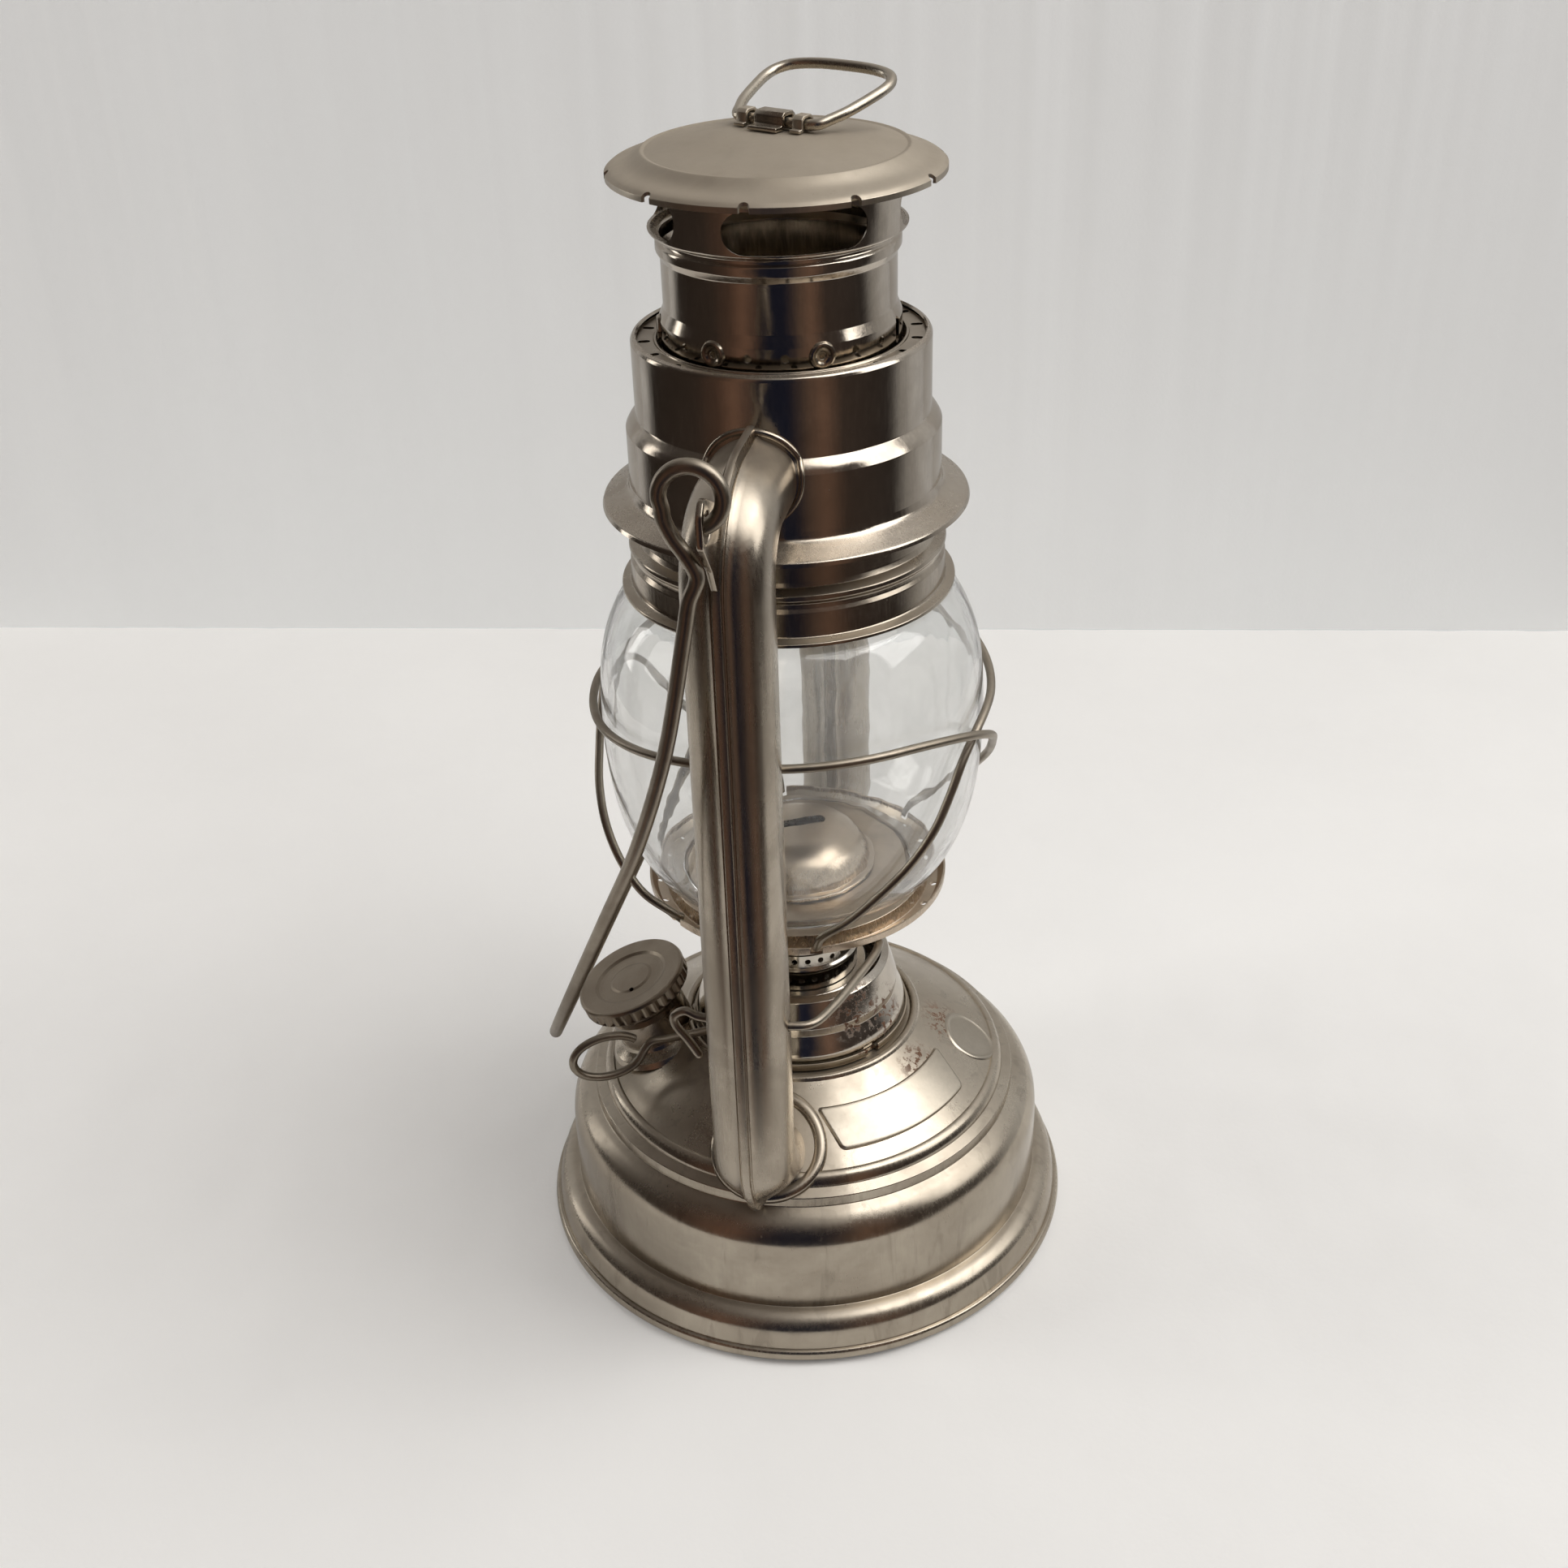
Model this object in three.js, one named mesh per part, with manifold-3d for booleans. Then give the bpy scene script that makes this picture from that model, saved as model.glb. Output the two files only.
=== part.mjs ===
// Tubular kerosene lantern, in millimetres, +Z up, standing on its foot rim at z = 0.
// The side tubes stand in the YZ plane, the front one towards -Y.
import * as THREE from 'three';
import { mergeVertices } from 'three/addons/utils/BufferGeometryUtils.js';
import Module from 'manifold-3d';

const wasm = await Module();
wasm.setup();

// Facet counts
const ROUND = 28;
const MIDDLE_ROUND = 24;
const SMALL_ROUND = 18;
const TINY_ROUND = 8;
const WIRE_SIDES = 7;

// General sizes
const SHEET = 0.6;
const GAP = 0.3;
const OVERRUN = 6;
const WELD = 0.0001;

// Font tank: a drawn shell with a flared foot, a stepped shoulder and a conical top
const tank = {
  rimRadius: 67.5,
  rimHeight: 3.8,
  neckRadius: 61.2,
  neckZ: 12.4,
  bodyRadius: 60.4,
  bodyZ: 15.8,
  bodyTopZ: 29.2,
  stepRadius: 54.2,
  stepZ: 38,
  domeRadius: 51.2,
  domeZ: 42.4,
  ridgeRadius: 30,
  ridgeZ: 56.4,
  ridgeHeight: 0.8,
  mouthRadius: 15,
  panRecess: 1.1,
};

// Burner between the tank mouth and the globe plate
const burner = {
  flangeRadius: 24.6,
  flangeThickness: 1,
  cupRadius: 26.2,
  cupTopRadius: 20.6,
  cupHeight: 17,
  housingRadius: 17,
  housingHeight: 14,
  screenRadius: 14.4,
  galleryRadius: 22,
  screenRibs: 4,
  plugDepth: 9,
};

// Flat wick, its tube, and the shaft with two toothed wheels that drive it
const wick = {
  width: 13,
  thickness: 1.6,
  tubeWall: 0.6,
  length: 80,
  aboveTube: 1.4,
  tubeLength: 52,
  tubeRise: 3.3,
  shaftDiameter: 2.1,
  shaftOffset: 7.2,
  shaftRise: 2.6,
  shaftAngle: THREE.MathUtils.degToRad(-151.8),
  wheelRadius: 5.2,
  wheelThickness: 1.1,
  wheelTeeth: 10,
  toothHeight: 0.7,
  wheelSpacing: 5,
  keyStart: 43.4,
  keyLength: 17.5,
  keyWidth: 12.2,
  keyDrop: 1.6,
};

// Filler neck and screw cap on the shoulder of the tank
const filler = {
  radius: 36.6,
  angle: THREE.MathUtils.degToRad(-163.6),
  tilt: THREE.MathUtils.degToRad(20),
  neckRadius: 9.8,
  neckWall: 1.4,
  neckHeight: 16.2,
  beadRadius: 11.3,
  beadDrop: 3.4,
  gasketThickness: 1.2,
  capRadius: 14.2,
  capHeight: 4.2,
  capTop: 1,
  capKnurls: 32,
  knurlDepth: 0.45,
  dishRadius: 8.6,
  dishDepth: 0.5,
  ventRadius: 0.6,
  ventReach: 5,
};

// Globe plate that carries the globe, the flame cone and the guard wires
const plate = {
  rise: 44,
  rimRadius: 36.1,
  rimHeight: 3.5,
  floorRadius: 32.4,
  seatRadius: 27.6,
  seatWidth: 3.6,
  seatHeight: 3.2,
  innerRadius: 16.8,
  innerEdge: 26.8,
  innerHeight: 4.1,
  neckRadius: 24.4,
  neckDepth: 4.6,
  holeRadius: 0.8,
  holes: 24,
  notchWidth: 2.9,
  notchDepth: 2.6,
};

const cone = {
  radius: 19.2,
  height: 10.4,
  slotLength: 15.5,
  slotWidth: 4.4,
};

// Glass globe
const globe = {
  height: 81.6,
  radius: 44.1,
  mouthRadius: 33.2,
  wall: 1.5,
};

// Guard wires round the globe
const guard = {
  diameter: 2,
  radius: 46.2,
  rise: 54,
  backCrest: 5,
  footTurn: THREE.MathUtils.degToRad(108),
  hookTurn: THREE.MathUtils.degToRad(49),
};

// Collar that sits on the globe, and the chimney tube above it
const collar = {
  overlap: 4.6,
  flangeRadius: 37.1,
  bandRadius: 34.8,
  neckRadius: 32.6,
  neckHeight: 21,
  throatRadius: 24.4,
  throatHeight: 28.4,
  lipHeight: 33,
};

const chimney = {
  flareRadius: 25.3,
  flareHeight: 31,
  flareRun: 2.4,
  tubeRadius: 24.3,
  tubeHeight: 44.6,
  bandRadius: 26.6,
  bandHeight: 18.8,
  beadHeight: 1,
  ventRise: 9.2,
  ventHeight: 8.4,
  ventSpread: THREE.MathUtils.degToRad(65),
  ventTurn: THREE.MathUtils.degToRad(-70),
  vents: 4,
  stations: 21,
  stationTurn: THREE.MathUtils.degToRad(-59.5),
  stationZ: 28.3,
  slotEvery: 9,
  holeRadius: 0.9,
  bossRadius: 2.5,
  bossHeight: 0.35,
  slotHeight: 5.4,
  slotWidth: 2.2,
};

const cap = {
  radius: 34.4,
  rimHeight: 1.8,
  creaseRadius: 26.2,
  creaseHeight: 4.6,
  crownRadius: 9.6,
  crownHeight: 7.9,
  nicks: 10,
  nickRadius: 1.1,
  nickTurn: THREE.MathUtils.degToRad(-88.6),
};

// Lifting ring of the chimney: a wire loop held under a strap of the crown
const ring = {
  diameter: 2.2,
  turn: THREE.MathUtils.degToRad(-25.5),
  lean: THREE.MathUtils.degToRad(75),
  hingeWidth: 18.5,
  width: 29,
  length: 25,
  strapWidth: 7,
  strapThickness: 0.8,
  strapLength: 7.4,
};

// Air chamber under the cap: a shouldered shell with a rain skirt and a slotted deck
const hood = {
  rise: 19.4,
  skirtRadius: 40,
  skirtHeight: 4,
  lowRadius: 33.8,
  shoulderHeight: 17.4,
  shoulderRise: 2.6,
  topRadius: 31.6,
  height: 36.8,
  edgeWidth: 1.1,
  openingRadius: 26.1,
  deckLip: 1.6,
  slots: 20,
  slotLength: 2.6,
  slotWidth: 0.9,
};

// Side tubes: two pressed halves with a seam, elbowed into the hood and the tank
const tube = {
  distance: 57.2,
  halfWidth: 9.2,
  halfDepth: 8.5,
  wall: 0.7,
  seamHeight: 0.8,
  topElbow: 13.5,
  footElbow: 14,
  footTurn: THREE.MathUtils.degToRad(65),
  footRise: 17.3,
  footRun: 10,
  squareness: 2.4,
  topDrop: 1.2,
  saddleMargin: 2.4,
};

const ear = {
  thickness: 1.3,
  reach: 19.2,
  drop: 9.1,
  height: 22,
  holeOut: 15.3,
  holeRise: 6.7,
  holeRadius: 3.05,
};

// Bail: one wire hooked through both ears, a half ellipse with a bend below the hooks
const bail = {
  diameter: 3.1,
  hookRadius: 6,
  straight: 28,
  length: 186,
  bendAt: 66,
  bendRun: 30,
  legShift: 2.6,
  upperLean: THREE.MathUtils.degToRad(11),
  lowerLean: THREE.MathUtils.degToRad(24.3),
  hookStart: THREE.MathUtils.degToRad(352),
  hookEnd: THREE.MathUtils.degToRad(68),
  holeTurn: THREE.MathUtils.degToRad(339),
  integrationSteps: 90,
};

// Lift lever: a wire that turns in the front tube and carries the globe plate
const lever = {
  diameter: 2,
  armReach: 34.5,
  armSpread: 24,
  handleOut: 8.4,
  handleDrop: 12,
};

const spring = {
  wire: 1.1,
  radius: 28.9,
  turns: 5,
  stepsPerTurn: 8,
  sides: 5,
  footShare: 0.16,
};

// Heights that follow from the sizes above, from the tank upwards
const tankTopZ = tank.ridgeZ;
const burnerZ = tankTopZ + GAP;
const plateZ = tankTopZ + plate.rise - plate.rimHeight;
const globeZ = plateZ + plate.seatHeight + SHEET + GAP;
const globeTopZ = globeZ + globe.height;
const collarZ = globeTopZ - collar.overlap;
const hoodZ = collarZ + hood.rise;
const hoodTopZ = hoodZ + hood.height;
const chimneyZ = collarZ + collar.throatHeight + GAP;
const bandZ = chimneyZ + chimney.tubeHeight;
const chimneyTopZ = bandZ + chimney.bandHeight;
const capZ = chimneyTopZ - cap.creaseHeight + SHEET + GAP;
const crownZ = capZ + cap.crownHeight;
const tubeTopZ = hoodZ + hood.shoulderHeight - tube.topDrop;
const footZ = tank.domeZ + tube.footRise;
const cupZ = burnerZ + burner.flangeThickness + GAP;
const shaftZ = cupZ + wick.shaftRise;
const housingTopZ = cupZ + burner.housingHeight;
const galleryZ = plateZ + plate.innerHeight - GAP;
const leverZ = plateZ - GAP - lever.diameter / 2;
const deckZ = hoodTopZ - SHEET - 2 * GAP;
const eyeZ = tubeTopZ + ear.holeRise;
const hingeZ = eyeZ + bail.hookRadius * Math.cos(bail.holeTurn);

// Geometry helpers

function polar(radius, angle, z) {
  return new THREE.Vector3(radius * Math.cos(angle), radius * Math.sin(angle), z);
}

function between(from, to, share) {
  return from + (to - from) * share;
}

function signedVolume(position, index) {
  const a = new THREE.Vector3();
  const b = new THREE.Vector3();
  const c = new THREE.Vector3();
  let sum = 0;
  for (let i = 0; i < index.length; i += 3) {
    a.fromBufferAttribute(position, index[i]);
    b.fromBufferAttribute(position, index[i + 1]);
    c.fromBufferAttribute(position, index[i + 2]);
    sum += a.dot(b.cross(c));
  }
  return sum;
}

function toSolid(source) {
  const bare = source.clone();
  bare.deleteAttribute('normal');
  bare.deleteAttribute('uv');
  const merged = mergeVertices(bare, WELD);
  const all = merged.index.array;
  const kept = [];
  for (let i = 0; i < all.length; i += 3) {
    const [a, b, c] = [all[i], all[i + 1], all[i + 2]];
    if (a !== b && b !== c && c !== a) kept.push(a, b, c);
  }
  const position = merged.getAttribute('position');
  if (signedVolume(position, kept) < 0) kept.reverse();
  const mesh = new wasm.Mesh({
    numProp: 3,
    vertProperties: Float32Array.from(position.array),
    triVerts: Uint32Array.from(kept),
  });
  return new wasm.Manifold(mesh);
}

function toGeometry(solid) {
  const mesh = solid.getMesh();
  const geometry = new THREE.BufferGeometry();
  geometry.setAttribute('position', new THREE.BufferAttribute(mesh.vertProperties.slice(), 3));
  geometry.setIndex(new THREE.BufferAttribute(mesh.triVerts.slice(), 1));
  geometry.computeVertexNormals();
  return geometry;
}

function join(first, ...others) {
  return others.reduce((sum, solid) => sum.add(solid), first);
}

function cut(first, ...tools) {
  return tools.reduce((rest, tool) => rest.subtract(tool), first);
}

// A solid of revolution about Z from [radius, z] points; off the axis the outline closes on itself
function revolve(points, segments = ROUND) {
  const outline = points.map(([r, z]) => new THREE.Vector2(r, z));
  const onAxis = outline[0].x === 0 && outline.at(-1).x === 0;
  if (!onAxis) outline.push(outline[0].clone());
  const geometry = new THREE.LatheGeometry(outline, segments);
  geometry.rotateX(Math.PI / 2);
  return toSolid(geometry);
}

function cylinder(radius, height, segments = SMALL_ROUND) {
  const geometry = new THREE.CylinderGeometry(radius, radius, height, segments);
  geometry.rotateX(Math.PI / 2);
  return geometry;
}

// A prism of an [x, y] outline, centred on z = 0
function prism(points, height) {
  const shape = new THREE.Shape(points.map(([x, y]) => new THREE.Vector2(x, y)));
  const geometry = new THREE.ExtrudeGeometry(shape, { depth: height, bevelEnabled: false, curveSegments: 1 });
  geometry.translate(0, 0, -height / 2);
  return geometry;
}

function obround(length, width, steps) {
  const radius = width / 2;
  const half = length / 2 - radius;
  const points = [];
  for (let i = 0; i <= steps; i++) {
    const angle = -Math.PI / 2 + (Math.PI * i) / steps;
    points.push([half + radius * Math.cos(angle), radius * Math.sin(angle)]);
  }
  for (let i = 0; i <= steps; i++) {
    const angle = Math.PI / 2 + (Math.PI * i) / steps;
    points.push([-half + radius * Math.cos(angle), radius * Math.sin(angle)]);
  }
  return points;
}

// Lays a shape drawn in XY and extruded along Z onto a wall that faces outward at an angle about Z
function onWall(geometry, radius, angle, z) {
  const placed = geometry.clone();
  placed.rotateX(Math.PI / 2);
  placed.rotateZ(angle + Math.PI / 2);
  const at = polar(radius, angle, z);
  placed.translate(at.x, at.y, at.z);
  return placed;
}

// A spline whose sections fall on its own points
class KnotCurve extends THREE.CatmullRomCurve3 {
  getPointAt(u, target) {
    return this.getPoint(u, target);
  }

  getTangentAt(u, target) {
    return this.getTangent(u, target);
  }
}

function wire(points, diameter, sides = WIRE_SIDES) {
  const section = [];
  for (let i = 0; i < sides; i++) {
    const angle = (2 * Math.PI * i) / sides;
    section.push(new THREE.Vector2((diameter / 2) * Math.cos(angle), (diameter / 2) * Math.sin(angle)));
  }
  const path = new KnotCurve(points, false, 'centripetal');
  return new THREE.ExtrudeGeometry(new THREE.Shape(section), {
    steps: points.length - 1,
    extrudePath: path,
    bevelEnabled: false,
  });
}

// A closed skin through rings of equally many points
function loft(rings) {
  const count = rings[0].length;
  const vertices = rings.flat().flatMap((point) => [point.x, point.y, point.z]);
  const index = [];
  for (let r = 0; r < rings.length - 1; r++) {
    for (let i = 0; i < count; i++) {
      const next = (i + 1) % count;
      const a = r * count + i;
      const b = r * count + next;
      index.push(a, b, b + count, a, b + count, a + count);
    }
  }
  const ends = [0, rings.length - 1];
  ends.forEach((end) => {
    const centre = rings[end].reduce((sum, point) => sum.add(point), new THREE.Vector3());
    centre.divideScalar(count);
    vertices.push(centre.x, centre.y, centre.z);
    const hub = vertices.length / 3 - 1;
    for (let i = 0; i < count; i++) {
      const a = end * count + i;
      const b = end * count + ((i + 1) % count);
      if (end === 0) index.push(hub, b, a);
      else index.push(hub, a, b);
    }
  });
  const geometry = new THREE.BufferGeometry();
  geometry.setAttribute('position', new THREE.Float32BufferAttribute(vertices, 3));
  geometry.setIndex(index);
  return geometry;
}

function opposite(solid) {
  return solid.rotate([0, 0, 180]);
}

// Finishes
const finishes = {
  tin: { color: 0x9b9184, roughness: 0.34, metalness: 1 },
  wire: { color: 0x7d7367, roughness: 0.45, metalness: 1 },
  dark: { color: 0x5f564c, roughness: 0.55, metalness: 1 },
  bright: { color: 0xb9b2a6, roughness: 0.25, metalness: 1 },
  glass: { color: 0xdfe4e2, roughness: 0.05, metalness: 0, transparent: true, opacity: 0.35 },
  cotton: { color: 0xd8cfb8, roughness: 0.95, metalness: 0 },
  cork: { color: 0x8a6a48, roughness: 0.9, metalness: 0 },
};

const lantern = new THREE.Group();

function add(name, shape, finish) {
  const geometry = shape.isBufferGeometry ? shape : toGeometry(shape);
  const mesh = new THREE.Mesh(geometry, new THREE.MeshStandardMaterial(finishes[finish]));
  mesh.name = name;
  lantern.add(mesh);
}

// Tank outline from the foot rim up to the burner mouth, outside
const footShares = [[0, 0], [0.42, 0.36], [0.84, 0.78]];
const shoulderShares = [[0, 0], [0.07, 0.3], [0.3, 0.62], [0.62, 0.86], [1, 1]];
const domeShares = [[0, 0], [0.12, 0.13], [0.45, 0.47], [0.75, 0.77], [1, 1]];
const rimTuckShare = 0.3;
const stepShares = [[0.08, 0.6], [0.7, 0.82]];

function tankOutside() {
  const tuck = tank.rimHeight * rimTuckShare;
  const foot = footShares.map(([r, z]) => [
    between(tank.rimRadius - tuck, tank.neckRadius, r),
    between(tank.rimHeight, tank.neckZ, z),
  ]);
  const shoulder = shoulderShares.map(([r, z]) => [
    between(tank.bodyRadius, tank.stepRadius, r),
    between(tank.bodyTopZ, tank.stepZ, z),
  ]);
  const step = stepShares.map(([r, z]) => [
    between(tank.stepRadius, tank.domeRadius, r),
    between(tank.stepZ, tank.domeZ, z),
  ]);
  const dome = domeShares.map(([r, z]) => [
    between(tank.domeRadius, tank.ridgeRadius, r),
    between(tank.domeZ, tank.ridgeZ, z),
  ]);
  return [
    [tank.rimRadius - tuck, 0],
    [tank.rimRadius, tuck],
    [tank.rimRadius, tank.rimHeight - tuck],
    ...foot,
    [tank.neckRadius, tank.neckZ],
    [tank.bodyRadius, tank.bodyZ],
    ...shoulder,
    ...step,
    ...dome,
    [tank.ridgeRadius - tank.ridgeHeight, tank.ridgeZ + tank.ridgeHeight],
    [tank.ridgeRadius - tank.ridgeHeight * 2, tank.ridgeZ + tank.ridgeHeight],
    [tank.ridgeRadius - tank.ridgeHeight * 3, tank.ridgeZ],
    [tank.mouthRadius, tank.ridgeZ],
  ];
}

// Offsets an outline sideways, to the right of its direction of travel when the distance is positive
const miterLimit = 1.6;

function offset(points, distance) {
  return points.map(([r, z], i) => {
    const before = points[Math.max(i - 1, 0)];
    const after = points[Math.min(i + 1, points.length - 1)];
    const incoming = new THREE.Vector2(r - before[0], z - before[1]).normalize();
    const outgoing = new THREE.Vector2(after[0] - r, after[1] - z).normalize();
    const along = incoming.clone().add(outgoing).normalize();
    const ends = incoming.lengthSq() * outgoing.lengthSq() === 0;
    const miter = ends ? 1 : Math.min(1 / Math.sqrt((1 + incoming.dot(outgoing)) / 2), miterLimit);
    return [r + along.y * distance * miter, z - along.x * distance * miter];
  });
}

// A pressed sheet whose outer face is the outline, travelled upwards
function pressed(points, thickness = SHEET, segments = ROUND) {
  const inside = offset(points, -thickness).reverse();
  if (points.at(-1)[0] > 0) return revolve([...points, ...inside], segments);
  inside[0][0] = 0;
  return revolve([...inside, ...points], segments);
}

// The solid that fills everything within an outline, grown by a distance
function filled(points, distance) {
  const grown = offset(points, distance);
  return revolve([[0, grown[0][1]], ...grown, [0, grown.at(-1)[1]]]);
}

function domeHeight(radius) {
  return between(tank.domeZ, tank.ridgeZ, (tank.domeRadius - radius) / (tank.domeRadius - tank.ridgeRadius));
}

// Filler pieces are drawn upright at the origin and set on the slope of the tank
function onFiller(geometry) {
  const placed = geometry.clone();
  placed.rotateY(filler.tilt);
  placed.rotateZ(filler.angle);
  const foot = polar(filler.radius, filler.angle, domeHeight(filler.radius));
  placed.translate(foot.x, foot.y, foot.z);
  return placed;
}

function revolvedGeometry(points, segments) {
  return toGeometry(revolve(points, segments));
}

const tankOutline = tankOutside();
const tankFilled = filled(tankOutline, GAP);

// Hood outline from the skirt lip up to the rolled top edge
const skirtShares = [[0, 0], [0.05, 0.22], [0.58, 0.6], [0.9, 0.88]];
const edgeShare = 0.35;

function hoodOutside() {
  const skirt = skirtShares.map(([r, z]) => [
    between(hood.skirtRadius, hood.lowRadius, r),
    hoodZ + hood.skirtHeight * z,
  ]);
  const shoulderZ = hoodZ + hood.shoulderHeight;
  const step = hood.lowRadius - hood.topRadius;
  return [
    ...skirt,
    [hood.lowRadius, hoodZ + hood.skirtHeight + hood.edgeWidth],
    [hood.lowRadius, shoulderZ - hood.edgeWidth * edgeShare],
    [hood.lowRadius - step * edgeShare, shoulderZ + hood.shoulderRise * edgeShare],
    [hood.topRadius, shoulderZ + hood.shoulderRise],
    [hood.topRadius, hoodTopZ - hood.edgeWidth],
    [hood.topRadius - hood.edgeWidth * edgeShare, hoodTopZ - hood.edgeWidth * edgeShare],
    [hood.topRadius - hood.edgeWidth, hoodTopZ],
  ];
}

const hoodOutline = hoodOutside();
const hoodFilled = filled(hoodOutline, GAP);

// Side tube sections: [outward, height], the outward face direction, and the distance along the line
function tubeLine() {
  const stations = [];
  const topCentre = [tube.distance - tube.topElbow, tubeTopZ - tube.topElbow];
  const topSteps = 5;
  stations.push({ at: [hood.topRadius - tube.saddleMargin, tubeTopZ], face: [0, 1] });
  for (let i = 0; i <= topSteps; i++) {
    const angle = Math.PI / 2 - ((Math.PI / 2) * i) / topSteps;
    const face = [Math.cos(angle), Math.sin(angle)];
    stations.push({ at: [topCentre[0] + tube.topElbow * face[0], topCentre[1] + tube.topElbow * face[1]], face });
  }
  const footSteps = 4;
  const footCentre = tube.distance - tube.footElbow;
  for (let i = 0; i <= footSteps; i++) {
    const angle = (tube.footTurn * i) / footSteps;
    const face = [Math.cos(angle), -Math.sin(angle)];
    stations.push({ at: [footCentre + tube.footElbow * face[0], footZ + tube.footElbow * face[1]], face });
  }
  const last = stations.at(-1);
  const inward = [last.face[1], -last.face[0]];
  stations.push({
    at: [last.at[0] + inward[0] * tube.footRun, last.at[1] + inward[1] * tube.footRun],
    face: last.face,
  });
  return stations;
}

const sectionDegrees = [0, 30, 56, 82, 90, 98, 124, 150];
const boreDegrees = [0, 40, 72, 108, 140];

function tubeSection(station, halfWidth, halfDepth, degrees, seam) {
  const all = [...degrees, ...degrees.map((degree) => degree + 180)];
  return all.map((degree) => {
    const angle = THREE.MathUtils.degToRad(degree);
    const power = 2 / tube.squareness;
    const across = Math.sign(Math.cos(angle)) * Math.abs(Math.cos(angle)) ** power * halfWidth;
    const ridge = degree % 180 === 90 ? seam : 0;
    const out = Math.sign(Math.sin(angle)) * (Math.abs(Math.sin(angle)) ** power * halfDepth + ridge);
    const outward = station.at[0] + station.face[0] * out;
    const height = station.at[1] + station.face[1] * out;
    return new THREE.Vector3(across, -outward, height);
  });
}

function tubeLoft(growth, degrees, seam) {
  const width = tube.halfWidth + growth;
  const depth = tube.halfDepth + growth;
  return toSolid(loft(tubeLine().map((station) => tubeSection(station, width, depth, degrees, seam))));
}

function saddle(outline, centre, halfLength) {
  const plateSolid = filled(outline, GAP + SHEET).subtract(filled(outline, GAP));
  const window = cylinder(1, 1, SMALL_ROUND);
  window.scale(tube.halfWidth + tube.saddleMargin, halfLength, hood.height);
  window.rotateX(Math.PI / 2 - centre.lean);
  window.translate(0, -centre.out, centre.z);
  return plateSolid.intersect(toSolid(window));
}

function sideTube() {
  const outer = tubeLoft(0, sectionDegrees, tube.seamHeight);
  const bore = tubeLoft(-tube.wall, boreDegrees, 0);
  const topSaddle = saddle(
    hoodOutline,
    { out: hood.lowRadius, z: tubeTopZ, lean: 0 },
    tube.halfDepth + tube.saddleMargin,
  );
  const footOut = tube.distance - tube.footElbow;
  const footSaddle = saddle(
    tankOutline.filter(([, z]) => z > tank.stepZ),
    { out: footOut + tube.saddleMargin, z: domeHeight(footOut + tube.saddleMargin), lean: tube.footTurn },
    tube.halfDepth + tube.saddleMargin,
  );
  const skin = join(outer, topSaddle, footSaddle).subtract(hoodFilled).subtract(tankFilled);
  return skin.subtract(bore);
}

function leverHole() {
  const hole = cylinder(lever.diameter / 2 + GAP, tube.halfWidth * 3, TINY_ROUND);
  hole.rotateY(Math.PI / 2);
  hole.translate(0, -tube.distance, leverZ);
  return toSolid(hole);
}

// Ports through the hood wall and the tank dome, where the side tubes open
const tubeBores = tubeLoft(-tube.wall * 2, boreDegrees, 0);
const bothBores = tubeBores.add(opposite(tubeBores));

// Tank
const fillerBore = cylinder(filler.neckRadius - filler.neckWall, filler.neckHeight);
const innerFootRadius = tank.rimRadius - tank.rimHeight * rimTuckShare - SHEET * 2;
const innerNeckRadius = tank.neckRadius - SHEET * 1.5;
const tankInside = [
  [tank.mouthRadius, tank.ridgeZ - SHEET],
  [tank.ridgeRadius - SHEET, tank.ridgeZ - SHEET * 1.4],
  [tank.domeRadius - SHEET, tank.domeZ - SHEET * 1.4],
  [tank.stepRadius - SHEET, tank.stepZ - SHEET * 1.2],
  [tank.bodyRadius - SHEET, tank.bodyTopZ],
  [tank.bodyRadius - SHEET, tank.bodyZ],
  [innerNeckRadius, tank.neckZ],
  [innerFootRadius, 0],
];
const tankSkin = revolve([...tankOutline, ...tankInside]);
add('tank_shell', cut(tankSkin, toSolid(onFiller(fillerBore)), bothBores), 'tin');

const panEdges = [tank.panRecess + SHEET, tank.panRecess + SHEET * 2];
const panRadius = Math.min(...panEdges.map((z) => between(innerFootRadius, innerNeckRadius, z / tank.neckZ))) - GAP;
const panStepShare = 0.68;
add(
  'tank_pan',
  revolve([
    [0, tank.panRecess],
    [panRadius * panStepShare, tank.panRecess],
    [panRadius * panStepShare + SHEET, tank.panRecess + SHEET],
    [panRadius, tank.panRecess + SHEET],
    [panRadius, tank.panRecess + SHEET * 2],
    [0, tank.panRecess + SHEET * 2],
  ]),
  'dark',
);

// Filler neck, gasket and screw cap
const neckBottom = -filler.neckHeight / 2;
const neckTube = revolvedGeometry(
  [
    [filler.neckRadius, neckBottom],
    [filler.neckRadius, filler.neckHeight - filler.beadDrop - SHEET],
    [filler.beadRadius, filler.neckHeight - filler.beadDrop],
    [filler.neckRadius, filler.neckHeight - filler.beadDrop + SHEET],
    [filler.neckRadius, filler.neckHeight],
    [filler.neckRadius - filler.neckWall, filler.neckHeight],
    [filler.neckRadius - filler.neckWall, neckBottom],
  ],
  SMALL_ROUND,
);
add('filler_neck', toSolid(onFiller(neckTube)).subtract(tankFilled), 'tin');

const gasketBottom = filler.neckHeight + GAP;
const gasketTop = gasketBottom + filler.gasketThickness;
const gasket = revolvedGeometry(
  [
    [filler.neckRadius, gasketBottom],
    [filler.neckRadius, gasketTop],
    [filler.neckRadius - filler.neckWall * 1.5, gasketTop],
    [filler.neckRadius - filler.neckWall * 1.5, gasketBottom],
  ],
  SMALL_ROUND,
);
add('filler_gasket', onFiller(gasket), 'cork');

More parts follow.
